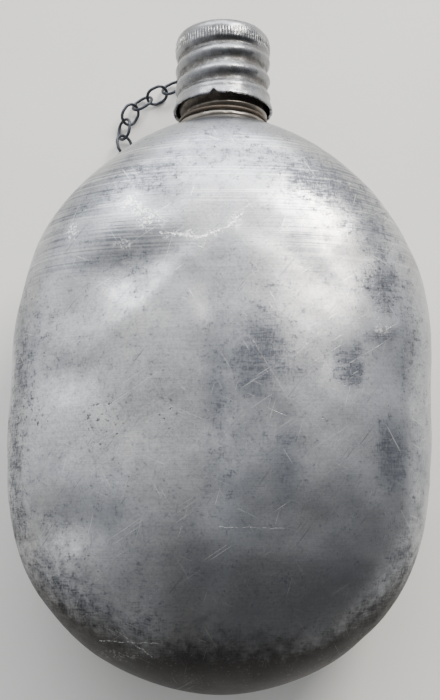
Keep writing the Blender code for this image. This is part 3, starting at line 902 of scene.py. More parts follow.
@dataclass(frozen=True)
class TurnedFinish:
    """Spun aluminium of the cap or the neck, with grime and painted shade in its hollows."""

    name: str
    light: Colour
    dull: Colour
    grime_and_shade: Colour
    roughness: float
    tarnish: float
    groove_radius: float
    ridge_radius: float
    band: Tuple[float, float] = (0.0, 1.0)
    band_marks: int = 0
    bare: Colour = (0.93, 0.93, 0.91)
    relief: float = 0.8

    def build(self, datum: Datum) -> bpy.types.Material:
        """Build the material.

        Args:
            datum: The frame's datum.

        Returns:
            The material.
        """
        g = Graph(self.name, datum)
        x, y, z = g.place()
        here = g.vector(x, y, z)
        cloud = g.noise(here, 0.16, 4.0, 0.6, 0.4, 21.0)
        mottle = g.noise(here, 0.75, 5.0, 0.65, 0.4, 22.0)
        speck = g.noise(here, 2.6, 4.0, 0.7, 0.0, 23.0)
        about = g.math("ARCTAN2", x, z) * 3.0
        spun = g.noise(g.vector(about * 0.5, y * 5.0, 0.0), 1.0, 3.0, 0.6, 0.0, 24.0)
        # hollow: how deep the point lies in a groove; the grooves are darkened by it as painted shade, on top of real
        # tarnish and grime from noise
        hollow = g.math("SQRT", x * x + z * z, 0.0).above(self.ridge_radius, self.groove_radius)
        tarnish = (self.tarnish + (cloud - 0.5) * 1.1 + hollow * 0.35).above(0.2, 1.0)
        grime_and_shade = hollow * 0.68 + (mottle - 0.5) * 1.3 + (speck - 0.5) * 0.8 + self.tarnish * 0.25
        grime_and_shade = grime_and_shade.above(0.42, 0.95)
        nicks = speck.above(0.60, 0.68) * (1.0 - hollow) * mottle.above(0.45, 0.60)
        dents = g.cells(here, 0.9).above(0.22, 0.12) * mottle.above(0.50, 0.60)
        coats = [(tarnish, self.dull), (spun.above(0.42, 0.62) * 0.20, self.grime_and_shade), (grime_and_shade * 0.72, self.grime_and_shade),
                 (dents * 0.55, self.grime_and_shade)]
        if self.band_marks:
            low, high = self.band
            sweep = about * (self.band_marks / 6.0) + mottle * 2.2
            comb = g.math("ABSOLUTE", g.math("SINE", sweep, 0.0), 0.0)
            inside = y.above(low, low + 1.2) * y.above(high, high - 1.0)
            # dark lines between the knurl marks: painted shade
            coats.append((comb.above(0.62, 0.15) * inside * 0.70, self.grime_and_shade))
            nicks = (nicks + comb.above(0.80, 0.97) * inside * mottle.above(0.44, 0.56)).limit()
            chipped = y.above(187.4, 185.6) * x.above(-1.0, 1.0) * x.above(10.0, 7.0) * z.above(0.0, 4.0)
            nicks = (nicks + chipped * (speck * 0.5 + mottle * 0.5).above(0.50, 0.56)).limit()
        colour = g.coats(self.light, coats + [(nicks * 0.85, self.bare)])
        rough = self.roughness + (cloud - 0.5) * 0.14 + (mottle - 0.5) * 0.12 + grime_and_shade * 0.22
        rough = rough + tarnish * 0.06 - nicks * 0.05
        g.relief(spun * 0.020 + mottle * 0.060 + speck * 0.020 - dents * 0.07, self.relief)
        return g.paint(Base_Color=colour, Roughness=rough.limit(), Metallic=1.0 - (grime_and_shade * 0.35).limit())


@dataclass(frozen=True)
class IronFinish:
    """Dark iron or dull steel wire with a little rust."""

    name: str
    metal: Colour
    scale: Colour
    rust: Colour
    roughness: float
    rusty: float
    metallic: float = 0.85
    worn: Colour = (0.46, 0.47, 0.50)
    pitted: Colour = (0.02, 0.02, 0.022)
    relief: float = 0.8

    def build(self, datum: Datum) -> bpy.types.Material:
        """Build the material.

        Args:
            datum: The frame's datum.

        Returns:
            The material.
        """
        g = Graph(self.name, datum)
        here = g.vector(*g.place())
        cloud = g.noise(here, 0.35, 4.0, 0.6, 0.4, 31.0)
        mottle = g.noise(here, 1.6, 5.0, 0.7, 0.3, 32.0)
        pits = g.cells(here, 2.2).above(0.32, 0.14) * mottle.above(0.42, 0.58)
        rust = (self.rusty + (cloud - 0.5) * 1.3 + (mottle - 0.5) * 0.9).above(0.35, 0.85)
        worn = mottle.above(0.58, 0.70) * cloud.above(0.62, 0.46)
        colour = g.coats(self.metal, ((mottle.above(0.35, 0.65), self.scale), (rust * 0.7, self.rust),
                                      (worn * 0.5, self.worn), (pits * 0.6, self.pitted)))
        rough = self.roughness + (mottle - 0.5) * 0.2 + rust * 0.25 + pits * 0.1 - worn * 0.1
        metal = self.metallic - (rust * 0.55).limit()
        g.relief(mottle * 0.07 - pits * 0.08 + cloud * 0.05, self.relief)
        return g.paint(Base_Color=colour, Roughness=rough.limit(), Metallic=metal.limit())


@dataclass(frozen=True)
class RubberFinish:
    """Old brown-black sealing rubber with dust and fine cracks."""

    fresh: Colour = (0.075, 0.060, 0.050)
    dusty: Colour = (0.230, 0.200, 0.170)
    cracked: Colour = (0.02, 0.016, 0.013)
    roughness: float = 0.78
    relief: float = 0.7

    def build(self, datum: Datum) -> bpy.types.Material:
        """Build the material.

        Args:
            datum: The frame's datum.

        Returns:
            The material.
        """
        g = Graph("aged_gasket_rubber", datum)
        here = g.vector(*g.place())
        dust = g.noise(here, 0.4, 5.0, 0.65, 0.3, 41.0)
        grit = g.noise(here, 3.0, 4.0, 0.7, 0.0, 42.0)
        cracks = g.cells(here, 0.8, "DISTANCE_TO_EDGE").above(0.06, 0.02)
        colour = g.coats(self.fresh, ((dust.above(0.45, 0.7) * 0.6 + grit.above(0.55, 0.7) * 0.3, self.dusty),
                                      (cracks * 0.7, self.cracked)))
        g.relief(grit * 0.05 - cracks * 0.08, self.relief)
        return g.paint(Base_Color=colour, Roughness=(self.roughness + (grit - 0.5) * 0.2).limit(), Metallic=0.0)


@dataclass(frozen=True)
class FloorFinish:
    """Plain pale floor."""

    colour: Colour = (0.79, 0.782, 0.755)
    shade: Colour = (0.75, 0.742, 0.712)
    roughness: float = 0.92

    def build(self, datum: Datum) -> bpy.types.Material:
        """Build the material.

        Args:
            datum: The frame's datum.

        Returns:
            The material.
        """
        g = Graph("pale_floor", datum)
        soft = g.noise(g.vector(*g.place()), 0.012, 3.0, 0.5, 0.0, 51.0)
        colour = g.blend(soft.above(0.35, 0.65), self.colour, self.shade)
        return g.paint(Base_Color=colour, Roughness=self.roughness, Metallic=0.0)


# ------------------------------------------------------------------------------------------------ shell


@dataclass(frozen=True)
class Spot:
    """A soft oval area of the front: a dent by its depth in millimetres, or a mark by its strength."""

    x: float
    y: float
    long: float
    short: float
    amount: float
    degrees: float = 0.0

    def spread(self, x: np.ndarray, y: np.ndarray) -> np.ndarray:
        """How strongly the spot acts at x, y.

        Args:
            x, y: Design coordinates.

        Returns:
            1 at its centre, falling off smoothly.
        """
        c, s = math.cos(math.radians(self.degrees)), math.sin(math.radians(self.degrees))
        u = ((x - self.x) * c + (y - self.y) * s) / self.long
        v = ((y - self.y) * c - (x - self.x) * s) / self.short
        return np.exp(-0.5 * (u * u + v * v))


@dataclass(frozen=True)
class ShellSize:
    """Sizes of the shell in millimetres."""

    length: float = 177.6
    half_width: float = 66.0
    widest_at: float = 98.8
    front: float = 39.0
    back: float = 38.0
    back_plane: float = 35.0
    deepest_at: float = 74.592
    neck: float = 14.0
    seat: float = 15.5
    tube: float = 11.8
    bore: float = 10.8
    tube_top: float = 28.0
    wall: float = 1.2
    bottom_lean: float = 1.7
    lower_width: Tuple[float, float] = (3.65, 1.73)
    upper_width: Tuple[float, float] = (2.46, 1.40)
    lower_depth: Tuple[float, float] = (2.4, 2.0)
    upper_depth: Tuple[float, float] = (2.6, 1.9)
    squareness: float = 0.4
    last_turn: float = 84.0
    back_edge: float = 0.35
    sharp: float = 50.0
    ripples: Tuple[Tuple[float, float, int], ...] = ((0.16, 34.0, 3), (0.075, 15.0, 4), (0.022, 7.0, 5))
    rows: int = 240
    columns: int = 324
    back_dent: Spot = Spot(24.0, 60.0, 12.0, 9.0, 0.9)
    dents: Tuple[Spot, ...] = (
        Spot(-28.5, 121.5, 9.5, 6.5, 2.00, 14.0), Spot(-25.5, 126.5, 11.0, 3.4, 0.75, 12.0),
        Spot(-38.0, 108.5, 15.0, 7.0, 0.95, 42.0), Spot(24.0, 124.0, 15.0, 13.0, 0.75, -20.0),
        Spot(-24.0, 74.0, 24.0, 22.0, 1.30, 0.0), Spot(-30.0, 107.5, 17.0, 2.6, -0.55, 43.0),
        Spot(-45.0, 110.0, 6.5, 5.0, 1.00, 20.0), Spot(-46.5, 91.0, 8.0, 5.5, 1.75, 0.0),
        Spot(-44.5, 49.0, 9.0, 5.6, 2.30, -12.0), Spot(-2.6, 92.0, 3.6, 27.0, 0.95, 0.0),
        Spot(-4.4, 64.0, 4.2, 18.0, 0.55, 4.0), Spot(4.0, 135.0, 13.0, 6.0, 0.40, 6.0),
        Spot(-14.0, 92.0, 10.0, 14.0, -0.22, 0.0), Spot(35.5, 93.5, 5.0, 5.5, 0.12, 0.0),
        Spot(30.0, 120.0, 11.0, 13.0, 0.28, -20.0), Spot(22.0, 40.0, 14.0, 9.0, 0.30, 30.0),
        Spot(-16.0, 34.0, 13.0, 8.0, 0.32, -20.0), Spot(-30.0, 74.0, 10.0, 8.0, 0.35, 25.0),
    )


PATCHES: Dict[Mask, Tuple[Spot, ...]] = {
    # Smudges: real dirt marks mixed with painted shade along the dent valleys and down both rims.
    Mask.SMUDGE_AND_SHADE: (
        Spot(-31.0, 149.0, 17.0, 5.5, 0.62, 24.0), Spot(-20.0, 157.0, 12.0, 4.5, 0.55, 14.0),
        Spot(28.0, 151.0, 18.0, 7.0, 0.85, -26.0), Spot(43.0, 134.0, 10.0, 7.5, 0.72, -48.0),
        Spot(0.0, 167.5, 20.0, 5.0, 0.50), Spot(45.0, 120.0, 8.0, 14.0, 0.55), Spot(46.5, 118.6, 4.2, 7.0, 1.35),
        Spot(45.8, 103.4, 4.0, 1.9, 1.2, 16.0), Spot(36.1, 93.9, 3.0, 4.6, 1.55), Spot(38.0, 99.0, 2.2, 2.6, 0.9),
        Spot(52.0, 40.0, 7.0, 18.0, 0.62, 25.0), Spot(42.0, 24.0, 12.0, 6.0, 0.62, 38.0),
        Spot(10.5, 97.0, 6.5, 9.5, 1.30), Spot(19.0, 92.0, 6.5, 9.0, 0.62), Spot(47.8, 68.4, 3.6, 8.0, 1.3),
        Spot(-2.5, 64.0, 6.0, 17.0, 0.46), Spot(-1.5, 90.0, 3.6, 30.0, 0.62), Spot(7.0, 74.0, 11.0, 24.0, 0.36),
        Spot(-61.0, 78.0, 3.4, 42.0, 0.72), Spot(56.0, 66.0, 4.0, 24.0, 0.42), Spot(17.5, 64.0, 4.0, 15.0, 0.66),
        Spot(36.0, 36.0, 15.0, 17.0, 0.50, 40.0), Spot(-20.0, 22.0, 20.0, 7.0, 0.48, -8.0),
        Spot(-40.0, 27.0, 9.0, 5.0, 0.40, -30.0), Spot(-45.0, 30.5, 14.0, 5.5, 0.85, -38.0),
        Spot(-50.0, 51.0, 8.0, 3.5, 0.55, 20.0), Spot(-54.0, 108.0, 5.0, 9.0, 0.45),
        Spot(-45.0, 96.0, 5.0, 4.0, 0.34), Spot(-25.0, 126.0, 6.0, 3.2, 0.42, 8.0), Spot(55.0, 92.0, 5.0, 18.0, 0.40),
        Spot(12.0, 159.0, 17.0, 5.0, 0.70, -6.0), Spot(55.0, 112.0, 4.5, 20.0, 0.55, 8.0),
    ),
    Mask.PITTING: (
        Spot(-33.8, 77.5, 4.6, 5.6, 1.0), Spot(-57.0, 80.0, 4.0, 8.0, 0.9), Spot(-16.1, 79.2, 2.0, 4.2, 0.8),
        Spot(36.1, 93.9, 4.0, 5.0, 0.9), Spot(46.0, 118.0, 5.0, 8.0, 0.8),
    ),
    Mask.RUBBED: (
        Spot(-27.0, 143.0, 2.6, 3.4, 1.0, -20.0), Spot(-22.0, 137.6, 4.4, 3.0, 1.0, -35.0),
        Spot(-44.9, 135.7, 2.0, 2.8, 1.0), Spot(-29.0, 130.0, 3.0, 1.4, 0.9), Spot(-8.0, 132.4, 11.0, 1.5, 0.9, 4.0),
        Spot(4.0, 137.0, 3.4, 2.2, 0.9, 50.0), Spot(45.5, 106.0, 4.0, 3.0, 0.55), Spot(-30.0, 13.0, 10.0, 2.5, 0.4),
    ),
    # Painted highlights: bright reflection lobes of the dents, painted as colour.
    Mask.PAINTED_HIGHLIGHT: (
        Spot(21.0, 117.0, 19.0, 18.0, 0.95, -20.0), Spot(29.0, 134.0, 9.0, 11.0, 1.0),
        Spot(-38.0, 107.0, 17.0, 12.0, 0.60, 42.0), Spot(-36.0, 80.0, 17.0, 16.0, 0.75),
        Spot(-18.0, 82.0, 10.0, 14.0, 0.70), Spot(-14.0, 86.0, 7.0, 15.0, 0.80), Spot(-44.0, 42.0, 5.5, 5.0, 1.0),
        Spot(-46.0, 86.0, 6.5, 7.0, 0.95), Spot(-34.0, 112.0, 12.0, 4.5, 0.85, 42.0),
        Spot(-6.0, 134.0, 12.0, 7.0, 0.6),
    ),
    # Bottom marks: real soot mixed with painted shade where the bottom should mirror the shaded floor.
    Mask.SOOT_AND_SHADE: (
        Spot(-3.0, 2.0, 48.0, 13.0, 1.9), Spot(34.0, 18.0, 12.0, 7.0, 0.55, 35.0),
        Spot(-34.0, 15.0, 9.0, 5.0, 0.45, -30.0), Spot(-41.0, 27.0, 12.0, 8.0, 0.62, -42.0),
        Spot(-3.0, 0.0, 36.0, 11.0, 1.1), Spot(5.0, 14.0, 9.0, 3.2, 0.50, 14.0),
        Spot(-22.0, 24.0, 8.0, 2.6, 0.50, -38.0), Spot(22.0, 16.0, 8.0, 3.0, 0.50, 24.0),
    ),
}


@dataclass(frozen=True)
class Shell:
    """The drawn shell: outside with its dents, neck tube and inside."""

    size: ShellSize
    datum: Datum

    def width(self, y: np.ndarray) -> np.ndarray:
        """Half the width of the shell.

        Args:
            y: Stations.

        Returns:
            Half widths in millimetres.
        """
        s = self.size
        low = np.clip(1.0 - y / s.widest_at, 0.0, 1.0)
        high = np.clip((y - s.widest_at) / (s.length - s.widest_at), 0.0, 1.0)
        lower = s.half_width * rounded(low, s.lower_width)
        upper = s.neck + (s.half_width - s.neck) * rounded(high, s.upper_width)
        return np.where(y < s.widest_at, lower, upper)

    def depth(self, y: np.ndarray, full: np.ndarray) -> np.ndarray:
        """Depth of the shell on one side.

        Args:
            y: Stations.
            full: Greatest depth on that side.

        Returns:
            Depths in millimetres.
        """
        s = self.size
        low = np.clip(1.0 - y / s.deepest_at, 0.0, 1.0)
        high = np.clip((y - s.deepest_at) / (s.length - s.deepest_at), 0.0, 1.0)
        lower = full * rounded(low, s.lower_depth)
        upper = s.neck + (full - s.neck) * rounded(high, s.upper_depth)
        return np.where(y < s.deepest_at, lower, upper)

    def stations(self) -> np.ndarray:
        """Spread the rings from bottom to neck.

        Returns:
            Stations, close together where the shell turns in.
        """
        s = self.size
        half = s.rows // 2
        lower = s.widest_at * (1.0 - np.cos(0.5 * math.pi * (np.arange(half) + 0.35) / half))
        turn = math.radians(s.last_turn) * np.arange(s.rows - half) / (s.rows - half - 1)
        return np.concatenate([lower, s.widest_at + (s.length - s.widest_at) * np.sin(turn)])

    def outside(self) -> np.ndarray:
        """Shape the outside before its dents.

        Returns:
            Array (rings, columns, 3) in design millimetres.
        """
        s = self.size
        y = self.stations()[:, None]
        angle = np.linspace(0.0, 2.0 * math.pi, s.columns, endpoint=False)[None, :]
        to_neck = np.clip((y - s.widest_at) / (s.length - s.widest_at), 0.0, 1.0)
        exponent = 2.0 / (2.0 + s.squareness * (1.0 - to_neck ** 6))
        full = np.where(np.sin(angle) > 0.0, s.front, s.back)
        lean = -s.bottom_lean * (1.0 - ease(y, 45.0, 130.0)) * (0.45 + 0.55 * ease(y, 5.0, 38.0))
        x = lean + self.width(y) * np.sign(np.cos(angle)) * np.abs(np.cos(angle)) ** exponent
        z = self.depth(y, full) * np.sign(np.sin(angle)) * np.abs(np.sin(angle)) ** exponent
        above = (z + s.back_plane) / s.back_edge
        z = -s.back_plane + s.back_edge * np.logaddexp(0.0, above)
        return np.stack([x, np.broadcast_to(y, x.shape), z], -1)

    def dented(self, rings: np.ndarray) -> np.ndarray:
        """Press the dents and the slow waviness of hand-worn metal into the outside.

        Args:
            rings: The undented outside.

        Returns:
            The dented outside, nowhere outside the frame's shell.
        """
        s = self.size
        along = np.gradient(rings, axis=0)
        around = np.roll(rings, -1, 1) - np.roll(rings, 1, 1)
        normal = np.cross(along, around)
        normal /= np.linalg.norm(normal, axis=-1, keepdims=True) + 1e-9
        middle = rings.mean(axis=1, keepdims=True)
        normal *= np.sign(((rings - middle) * normal).sum(-1, keepdims=True) + 1e-9)
        x, y, z = np.moveaxis(rings, -1, 0)
        front = ease(z, -4.0, 10.0)
        quiet = ease(y, 2.0, 20.0) * (1.0 - ease(y, 160.0, 174.0))
        press = np.zeros(x.shape)
        for dent in s.dents:
            press += dent.amount * dent.spread(x, y)
        ripple = ripples(rings, s.ripples)
        back = s.back_dent.amount * s.back_dent.spread(x, y) * (1.0 - front) * ease(z, -34.5, -20.0)
        shift = -(press * front + back) + (ripple - 0.20) * quiet * ease(z, -34.9, -28.0)
        moved = rings + normal * shift[..., None]
        low, high = (self.datum.design(np.array(corner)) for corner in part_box("body_shell"))
        return np.clip(moved, low, high)

    def inside(self, outside: np.ndarray) -> np.ndarray:
        """Inside of the wall, coarser along the axis.

        Args:
            outside: The dented outside.

        Returns:
            Rings from neck to bottom.
        """
        s = self.size
        rows = outside[np.linspace(0, len(outside) - 1, 30).astype(int)][::-1]
        centre = np.array([0.0, s.length / 2.0, 0.0])
        share = np.array([1.0 - s.wall / s.half_width, 1.0 - 2.0 * s.wall / s.length, 1.0 - s.wall / s.back_plane])
        return (rows - centre) * share + centre

    def marks(self, points: np.ndarray) -> Dict[Mask, np.ndarray]:
        """Strength of every mask at the given points.

        Args:
            points: Points in design millimetres.

        Returns:
            One array per mask.
        """
        x, y, z = points.T
        front = ease(z, -6.0, 6.0)
        found = {mask: np.zeros(len(points)) for mask in Mask}
        for mask, spots in PATCHES.items():
            where = 1.0 if mask is Mask.SOOT_AND_SHADE else front
            for spot in spots:
                found[mask] = np.maximum(found[mask], spot.amount * spot.spread(x, y) * where)
        # Painted dark reflection: the side walls near the bottom are darkened to stand for the shaded floor that they
        # mirror.
        edge = (1.0 - ease(z, 14.0, 34.0)) * (1.0 - ease(y, 24.0, 80.0)) * (0.62 + 0.90 * (1.0 - ease(y, 6.0, 46.0)))
        found[Mask.SOOT_AND_SHADE] = np.maximum(found[Mask.SOOT_AND_SHADE], 1.25 * edge)
        rear = 1.0 - front
        found[Mask.SMUDGE_AND_SHADE] += rear * np.clip(0.30 * waves(points, 55.0, 6) + 0.10, 0.0, 0.6)
        found[Mask.PITTING] += rear * np.clip(0.45 * waves(points, 40.0, 7) - 0.30, 0.0, 0.8)
        found[Mask.SMUDGE_AND_SHADE] += front * np.clip(0.15 * waves(points, 26.0, 8), 0.0, 0.25)
        return found

    def build(self, finish: bpy.types.Material) -> bpy.types.Object:
        """Build the shell.

        Args:
            finish: Its material.

        Returns:
            The piece that stands for the CAD shell.
        """
        s = self.size
        outside = self.dented(self.outside())
        seat = s.length - 0.3
        tube_top = s.length + s.tube_top
        neck = turned(line_up([(s.seat + 0.25, seat - 0.05), (s.seat, seat), (s.tube, seat), (s.tube, tube_top),
                               (s.bore, tube_top), (s.bore, seat - s.wall)], 12.0), s.columns)
        inside = self.inside(outside)
        rings = np.concatenate([outside, neck, inside])
        mesh = grid_mesh("shell_skin", self.datum.world(rings))
        points = np.empty(len(mesh.vertices) * 3)
        mesh.vertices.foreach_get("co", points)
        for mask, values in self.marks(self.datum.design(points.reshape(-1, 3))).items():
            layer = mesh.attributes.new(mask.value, "FLOAT", "POINT")
            layer.data.foreach_set("value", values.astype(np.float32))
        mesh.set_sharp_from_angle(angle=math.radians(s.sharp))
        obj = link_object("shell_skin", mesh, finish)
        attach(obj, Body.CANTEEN.value)
        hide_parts("body_shell")
        return obj


# ------------------------------------------------------------------------------------------------ neck and cap


@dataclass(frozen=True)
class ThreadSize:
    """The rounded right-handed thread that neck and cap share, in millimetres."""

    pitch: float = 6.35
    half_height: float = 0.55
    crest_at: float = 194.6

    def wave(self, y: np.ndarray, angle: np.ndarray, sign: float) -> np.ndarray:
        """Thread height at y and angle.

        Args:
            y: Station along the axis.
            angle: Angle from +x towards +z.
            sign: 1 for a wave that stands up from the root, -1 for one that dips from the crest.

        Returns:
            Offset of the radius in millimetres.
        """
        phase = 2.0 * math.pi * (y - self.crest_at) / self.pitch - (math.pi / 2.0 - angle)
        return sign * self.half_height * (1.0 + sign * np.cos(phase))


@dataclass(frozen=True)
class FerruleSize:
    """Sizes of the neck ferrule in millimetres, stations measured from the shell's top."""

    top: float = 177.6
    bore: float = 12.1
    bead_radius: float = 1.3
    bead_centre: float = 13.8
    bead_at: float = 1.45
    groove: float = 13.3
    root: float = 13.55
    mouth_at: float = 30.6
    mouth: float = 13.3
    thread_from: float = 4.6
    thread_to: float = 27.0
    lead_in: float = 1.4
    run_out: float = 2.6
    sharp: float = 60.0
    columns: int = 256


@dataclass(frozen=True)
class Ferrule:
    """The threaded neck piece with its bead and collar groove."""

    size: FerruleSize
    thread: ThreadSize
    datum: Datum

    def shape(self, radius: np.ndarray, y: np.ndarray, angle: np.ndarray) -> Tuple[np.ndarray, np.ndarray]:
        """Add the thread and small unevenness to the spun profile.

        Args:
            radius, y, angle: Spun grid in millimetres and radians.

        Returns:
            Radius and y to use.
        """
        s = self.size
        start, end = s.top + s.thread_from, s.top + s.thread_to
        weight = ease(y, start, start + s.lead_in) * (1.0 - ease(y, end - s.run_out, end)) * (radius > s.bore + 0.8)
        around = np.stack([14.0 * np.cos(angle), y, 14.0 * np.sin(angle)], -1)
        outer = radius > s.bore + 0.5
        bead = np.exp(-0.5 * ((y - s.top - s.bead_at) / 1.0) ** 2) * outer
        uneven = ripples(around, ((0.06, 5.0, 21), (0.03, 2.4, 22)))
        return radius + weight * self.thread.wave(y, angle, 1.0) + np.minimum(uneven, 0.08) * outer * (0.4 + bead), y

    def build(self, finish: bpy.types.Material) -> bpy.types.Object:
        """Build the ferrule.

        Args:
            finish: Its material.

        Returns:
            The piece that stands for the CAD ferrule.
        """
        s = self.size
        low = s.top + s.bead_at - s.bead_radius
        bead = [(s.bead_centre + s.bead_radius * math.cos(t), s.top + s.bead_at + s.bead_radius * math.sin(t))
                for t in np.linspace(-math.pi / 2.0, math.pi / 4.0, 14)]
        profile = [(s.bore, low), (s.bead_centre - 0.6, low)] + bead
        profile += line_up([(s.groove, s.top + s.bead_at + 1.35), (s.groove, s.top + 4.2), (s.root, s.top + 4.7),
                            (s.root, s.top + 27.0), (s.mouth, s.top + 28.6), (s.mouth, s.top + s.mouth_at - 0.5),
                            (s.mouth - 0.12, s.top + s.mouth_at - 0.15), (s.mouth - 0.4, s.top + s.mouth_at),
                            (s.bore + 0.25, s.top + s.mouth_at), (s.bore, s.top + s.mouth_at - 0.3)], 0.24)
        profile += line_up([(s.bore, s.top + s.mouth_at - 0.4), (s.bore, low)], 3.0)[:-1]
        mesh = grid_mesh("ferrule_skin", self.datum.world(turned(profile, s.columns, self.shape)), loop=True)
        mesh.set_sharp_from_angle(angle=math.radians(s.sharp))
        obj = link_object("ferrule_skin", mesh, finish)
        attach(obj, Body.CANTEEN.value)
        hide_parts("neck_ferrule")
        return obj


@dataclass(frozen=True)
class CapSize:
    """Sizes of the screw cap in millimetres, stations measured from the shell's top."""

    top: float = 177.6
    crest: float = 15.95
    wall: float = 0.9
    rib_start: float = 10.4
    rib_end: float = 28.4
    lead_in: float = 3.0
    run_out: float = 2.4
    sharp: float = 65.0
    columns: int = 440
    outer: Tuple[Tuple[float, float], ...] = (
        (16.25, 7.30), (16.52, 7.36), (16.64, 7.55), (16.62, 7.90), (16.46, 8.50), (16.22, 9.30), (16.00, 10.10),
        (15.95, 10.60), (15.95, 28.30), (16.02, 29.00), (16.05, 29.50), (16.05, 30.70), (15.98, 31.50),
        (15.80, 32.30), (15.45, 33.05), (14.90, 33.65), (14.20, 34.05), (13.30, 34.26), (12.40, 34.20), (9.00, 34.10),
        (5.60, 34.16), (4.80, 34.28), (2.60, 34.29), (2.05, 34.22),
    )
    inner: Tuple[Tuple[float, float], ...] = (
        (2.00, 33.50), (2.20, 33.40), (12.90, 33.38), (13.90, 33.10), (14.70, 32.40), (15.08, 31.40), (15.12, 29.60),
        (15.05, 28.30), (15.05, 10.60), (15.20, 9.60), (15.48, 8.60), (15.62, 7.80), (15.80, 7.42),
    )
    knurls: int = 104
    knurl_at: float = 29.6


@dataclass(frozen=True)
class Cap:
    """The rolled screw cap with two helical ribs, knurled crown and torn rim."""

    size: CapSize
    thread: ThreadSize
    datum: Datum

    def shape(self, radius: np.ndarray, y: np.ndarray, angle: np.ndarray) -> Tuple[np.ndarray, np.ndarray]:
        """Add ribs, knurled band, dings and the worn rim to the spun profile.

        Args:
            radius, y, angle: Spun grid in millimetres and radians.

        Returns:
            Radius and y to use.
        """
        s = self.size
        low, high = s.top + s.rib_start, s.top + s.rib_end
        side = radius > 14.4
        weight = ease(y, low, low + s.lead_in) * (1.0 - ease(y, high - s.run_out, high)) * side
        radius = radius + weight * self.thread.wave(y, angle, -1.0)
        around = np.stack([16.0 * np.cos(angle), y, 16.0 * np.sin(angle)], -1)
        outer = side & (radius > s.crest - s.wall * 0.5 - 2.2 * self.thread.half_height * weight)
        uneven = ripples(around, ((0.045, 9.0, 31), (0.030, 3.6, 32), (0.012, 1.6, 33)))
        crown = ease(y, s.top + 27.8, s.top + 28.8) * (1.0 - ease(y, s.top + 30.6, s.top + 31.8)) * outer
        turn = angle * s.knurls / 2.0
        press = 0.085 * np.abs(np.sin(turn + 0.35 * waves(around, 6.0, 34))) ** 0.8
        press = press * (0.7 + 0.3 * waves(around, 4.0, 35))
        radius = radius + (uneven - 0.09) * side * 0.8 - press * crown
        rim = 1.0 - ease(y, s.top + 7.2, s.top + 10.5)
        ragged = 0.16 + 0.11 * waves(around, 7.0, 36) + 0.06 * waves(around, 2.2, 37)
        tear = 1.25 * np.exp(-0.5 * ((angle - math.radians(100.5)) / math.radians(2.3)) ** 2)
        tear += 0.45 * np.exp(-0.5 * ((angle - math.radians(84.0)) / math.radians(4.5)) ** 2)
        y = y + rim * (np.clip(ragged, 0.0, 0.5) + tear)
        bent = 0.24 * np.exp(-0.5 * ((angle - math.radians(104.0)) / math.radians(6.0)) ** 2)
        return radius - rim * (bent + 0.05 * (1.0 + waves(around, 12.0, 38))), y

    def build(self, finish: bpy.types.Material) -> bpy.types.Object:
        """Build the cap.

        Args:
            finish: Its material.

        Returns:
            The piece that stands for the CAD cap.
        """
        s = self.size
        outer = line_up([(r, s.top + y) for r, y in s.outer], 0.30)
        inner = line_up([(r, s.top + y) for r, y in s.inner], 0.75)
        mesh = grid_mesh("cap_skin", self.datum.world(turned(outer + inner, s.columns, self.shape)), loop=True)
        mesh.set_sharp_from_angle(angle=math.radians(s.sharp))
        obj = link_object("cap_skin", mesh, finish)
        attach(obj, Body.CAP.value)
        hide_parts("cap_shell")
        return obj

    def knurl(self, tree: KnurlTree, finish: bpy.types.Material) -> bpy.types.Object:
        """Stamp the raised marks of the crown band.

        Args:
            tree: The knurl tree.
            finish: Their material.

        Returns:
            The ring of marks.
        """
        s = self.size
        centre = self.datum.world(np.array([0.0, s.top + s.knurl_at, 0.0]))
        base = bpy.data.meshes.new("cap_knurl")
        obj = tree.grow("cap_knurl", base, finish, {
            "Count": s.knurls, "Radius": (s.crest - 0.03) * MM, "Mark size": (0.11 * MM, 0.25 * MM, 1.35 * MM),
            "Centre": tuple(centre), "Stray": 0.42 * MM, "Seed": 7})
        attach(obj, Body.CAP.value)
        return obj


# ------------------------------------------------------------------------------------------------ wire pieces


@dataclass(frozen=True)
class SwivelSize:
    """Sizes of the swivel plate and bail in millimetres, stations from the shell's top."""

    top: float = 177.6
    plate: float = 4.8
    hole: float = 2.0
    low: float = 34.6
    thick: float = 0.6
    wire: Wire = Wire(0.65, 20, 0.35, 0.10, 450.0)
    half_width: float = 4.2
    apex: Point = (0.0, 216.6, -4.2)


@dataclass(frozen=True)
class Swivel:
    """The turning plate on the cap, with its wire bail."""

    size: SwivelSize
    datum: Datum

    def build(self, tree: WireTree, finish: bpy.types.Material) -> List[bpy.types.Object]:
        """Build plate and bail.

        Args:
            tree: The wire tree.
            finish: Their material.

        Returns:
            The plate and the bail.
        """
        s = self.size
        low, high, edge = s.top + s.low, s.top + s.low + s.thick, 0.14
        profile = line_up([(s.hole + edge, low), (s.plate - edge, low), (s.plate, low + edge),
                           (s.plate, high - edge), (s.plate - edge, high), (s.hole + edge, high),
                           (s.hole, high - edge), (s.hole, low + edge)], 0.4)
        mesh = grid_mesh("swivel_plate", self.datum.world(turned(profile, 96)), loop=True)
        plate = link_object("swivel_plate", mesh, finish)
        foot = np.array([0.0, low + s.thick / 2.0, 0.0])
        rise = np.array(s.apex) - foot
        turn = np.linspace(0.0, math.pi, 48)[:, None]
        arch = foot + np.cos(turn) * np.array([s.half_width, 0.0, 0.0]) + rise * np.sin(turn) ** 0.8
        bail = tree.lay(path_mesh("swivel_bail", [(arch, False)], self.datum), s.wire, finish, 2.0)
        for obj in (plate, bail):
            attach(obj, Body.SWIVEL.value)
        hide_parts("swivel_loop")
        return [plate, bail]


@dataclass(frozen=True)
class CollarSize:
    """Sizes of the chain collar in millimetres."""

    at: float = 181.2
    ring: float = 14.3
    wire: Wire = Wire(0.55, 18, 0.5, 0.16, 420.0)
    eye: float = 2.1
    overlap: float = 0.3


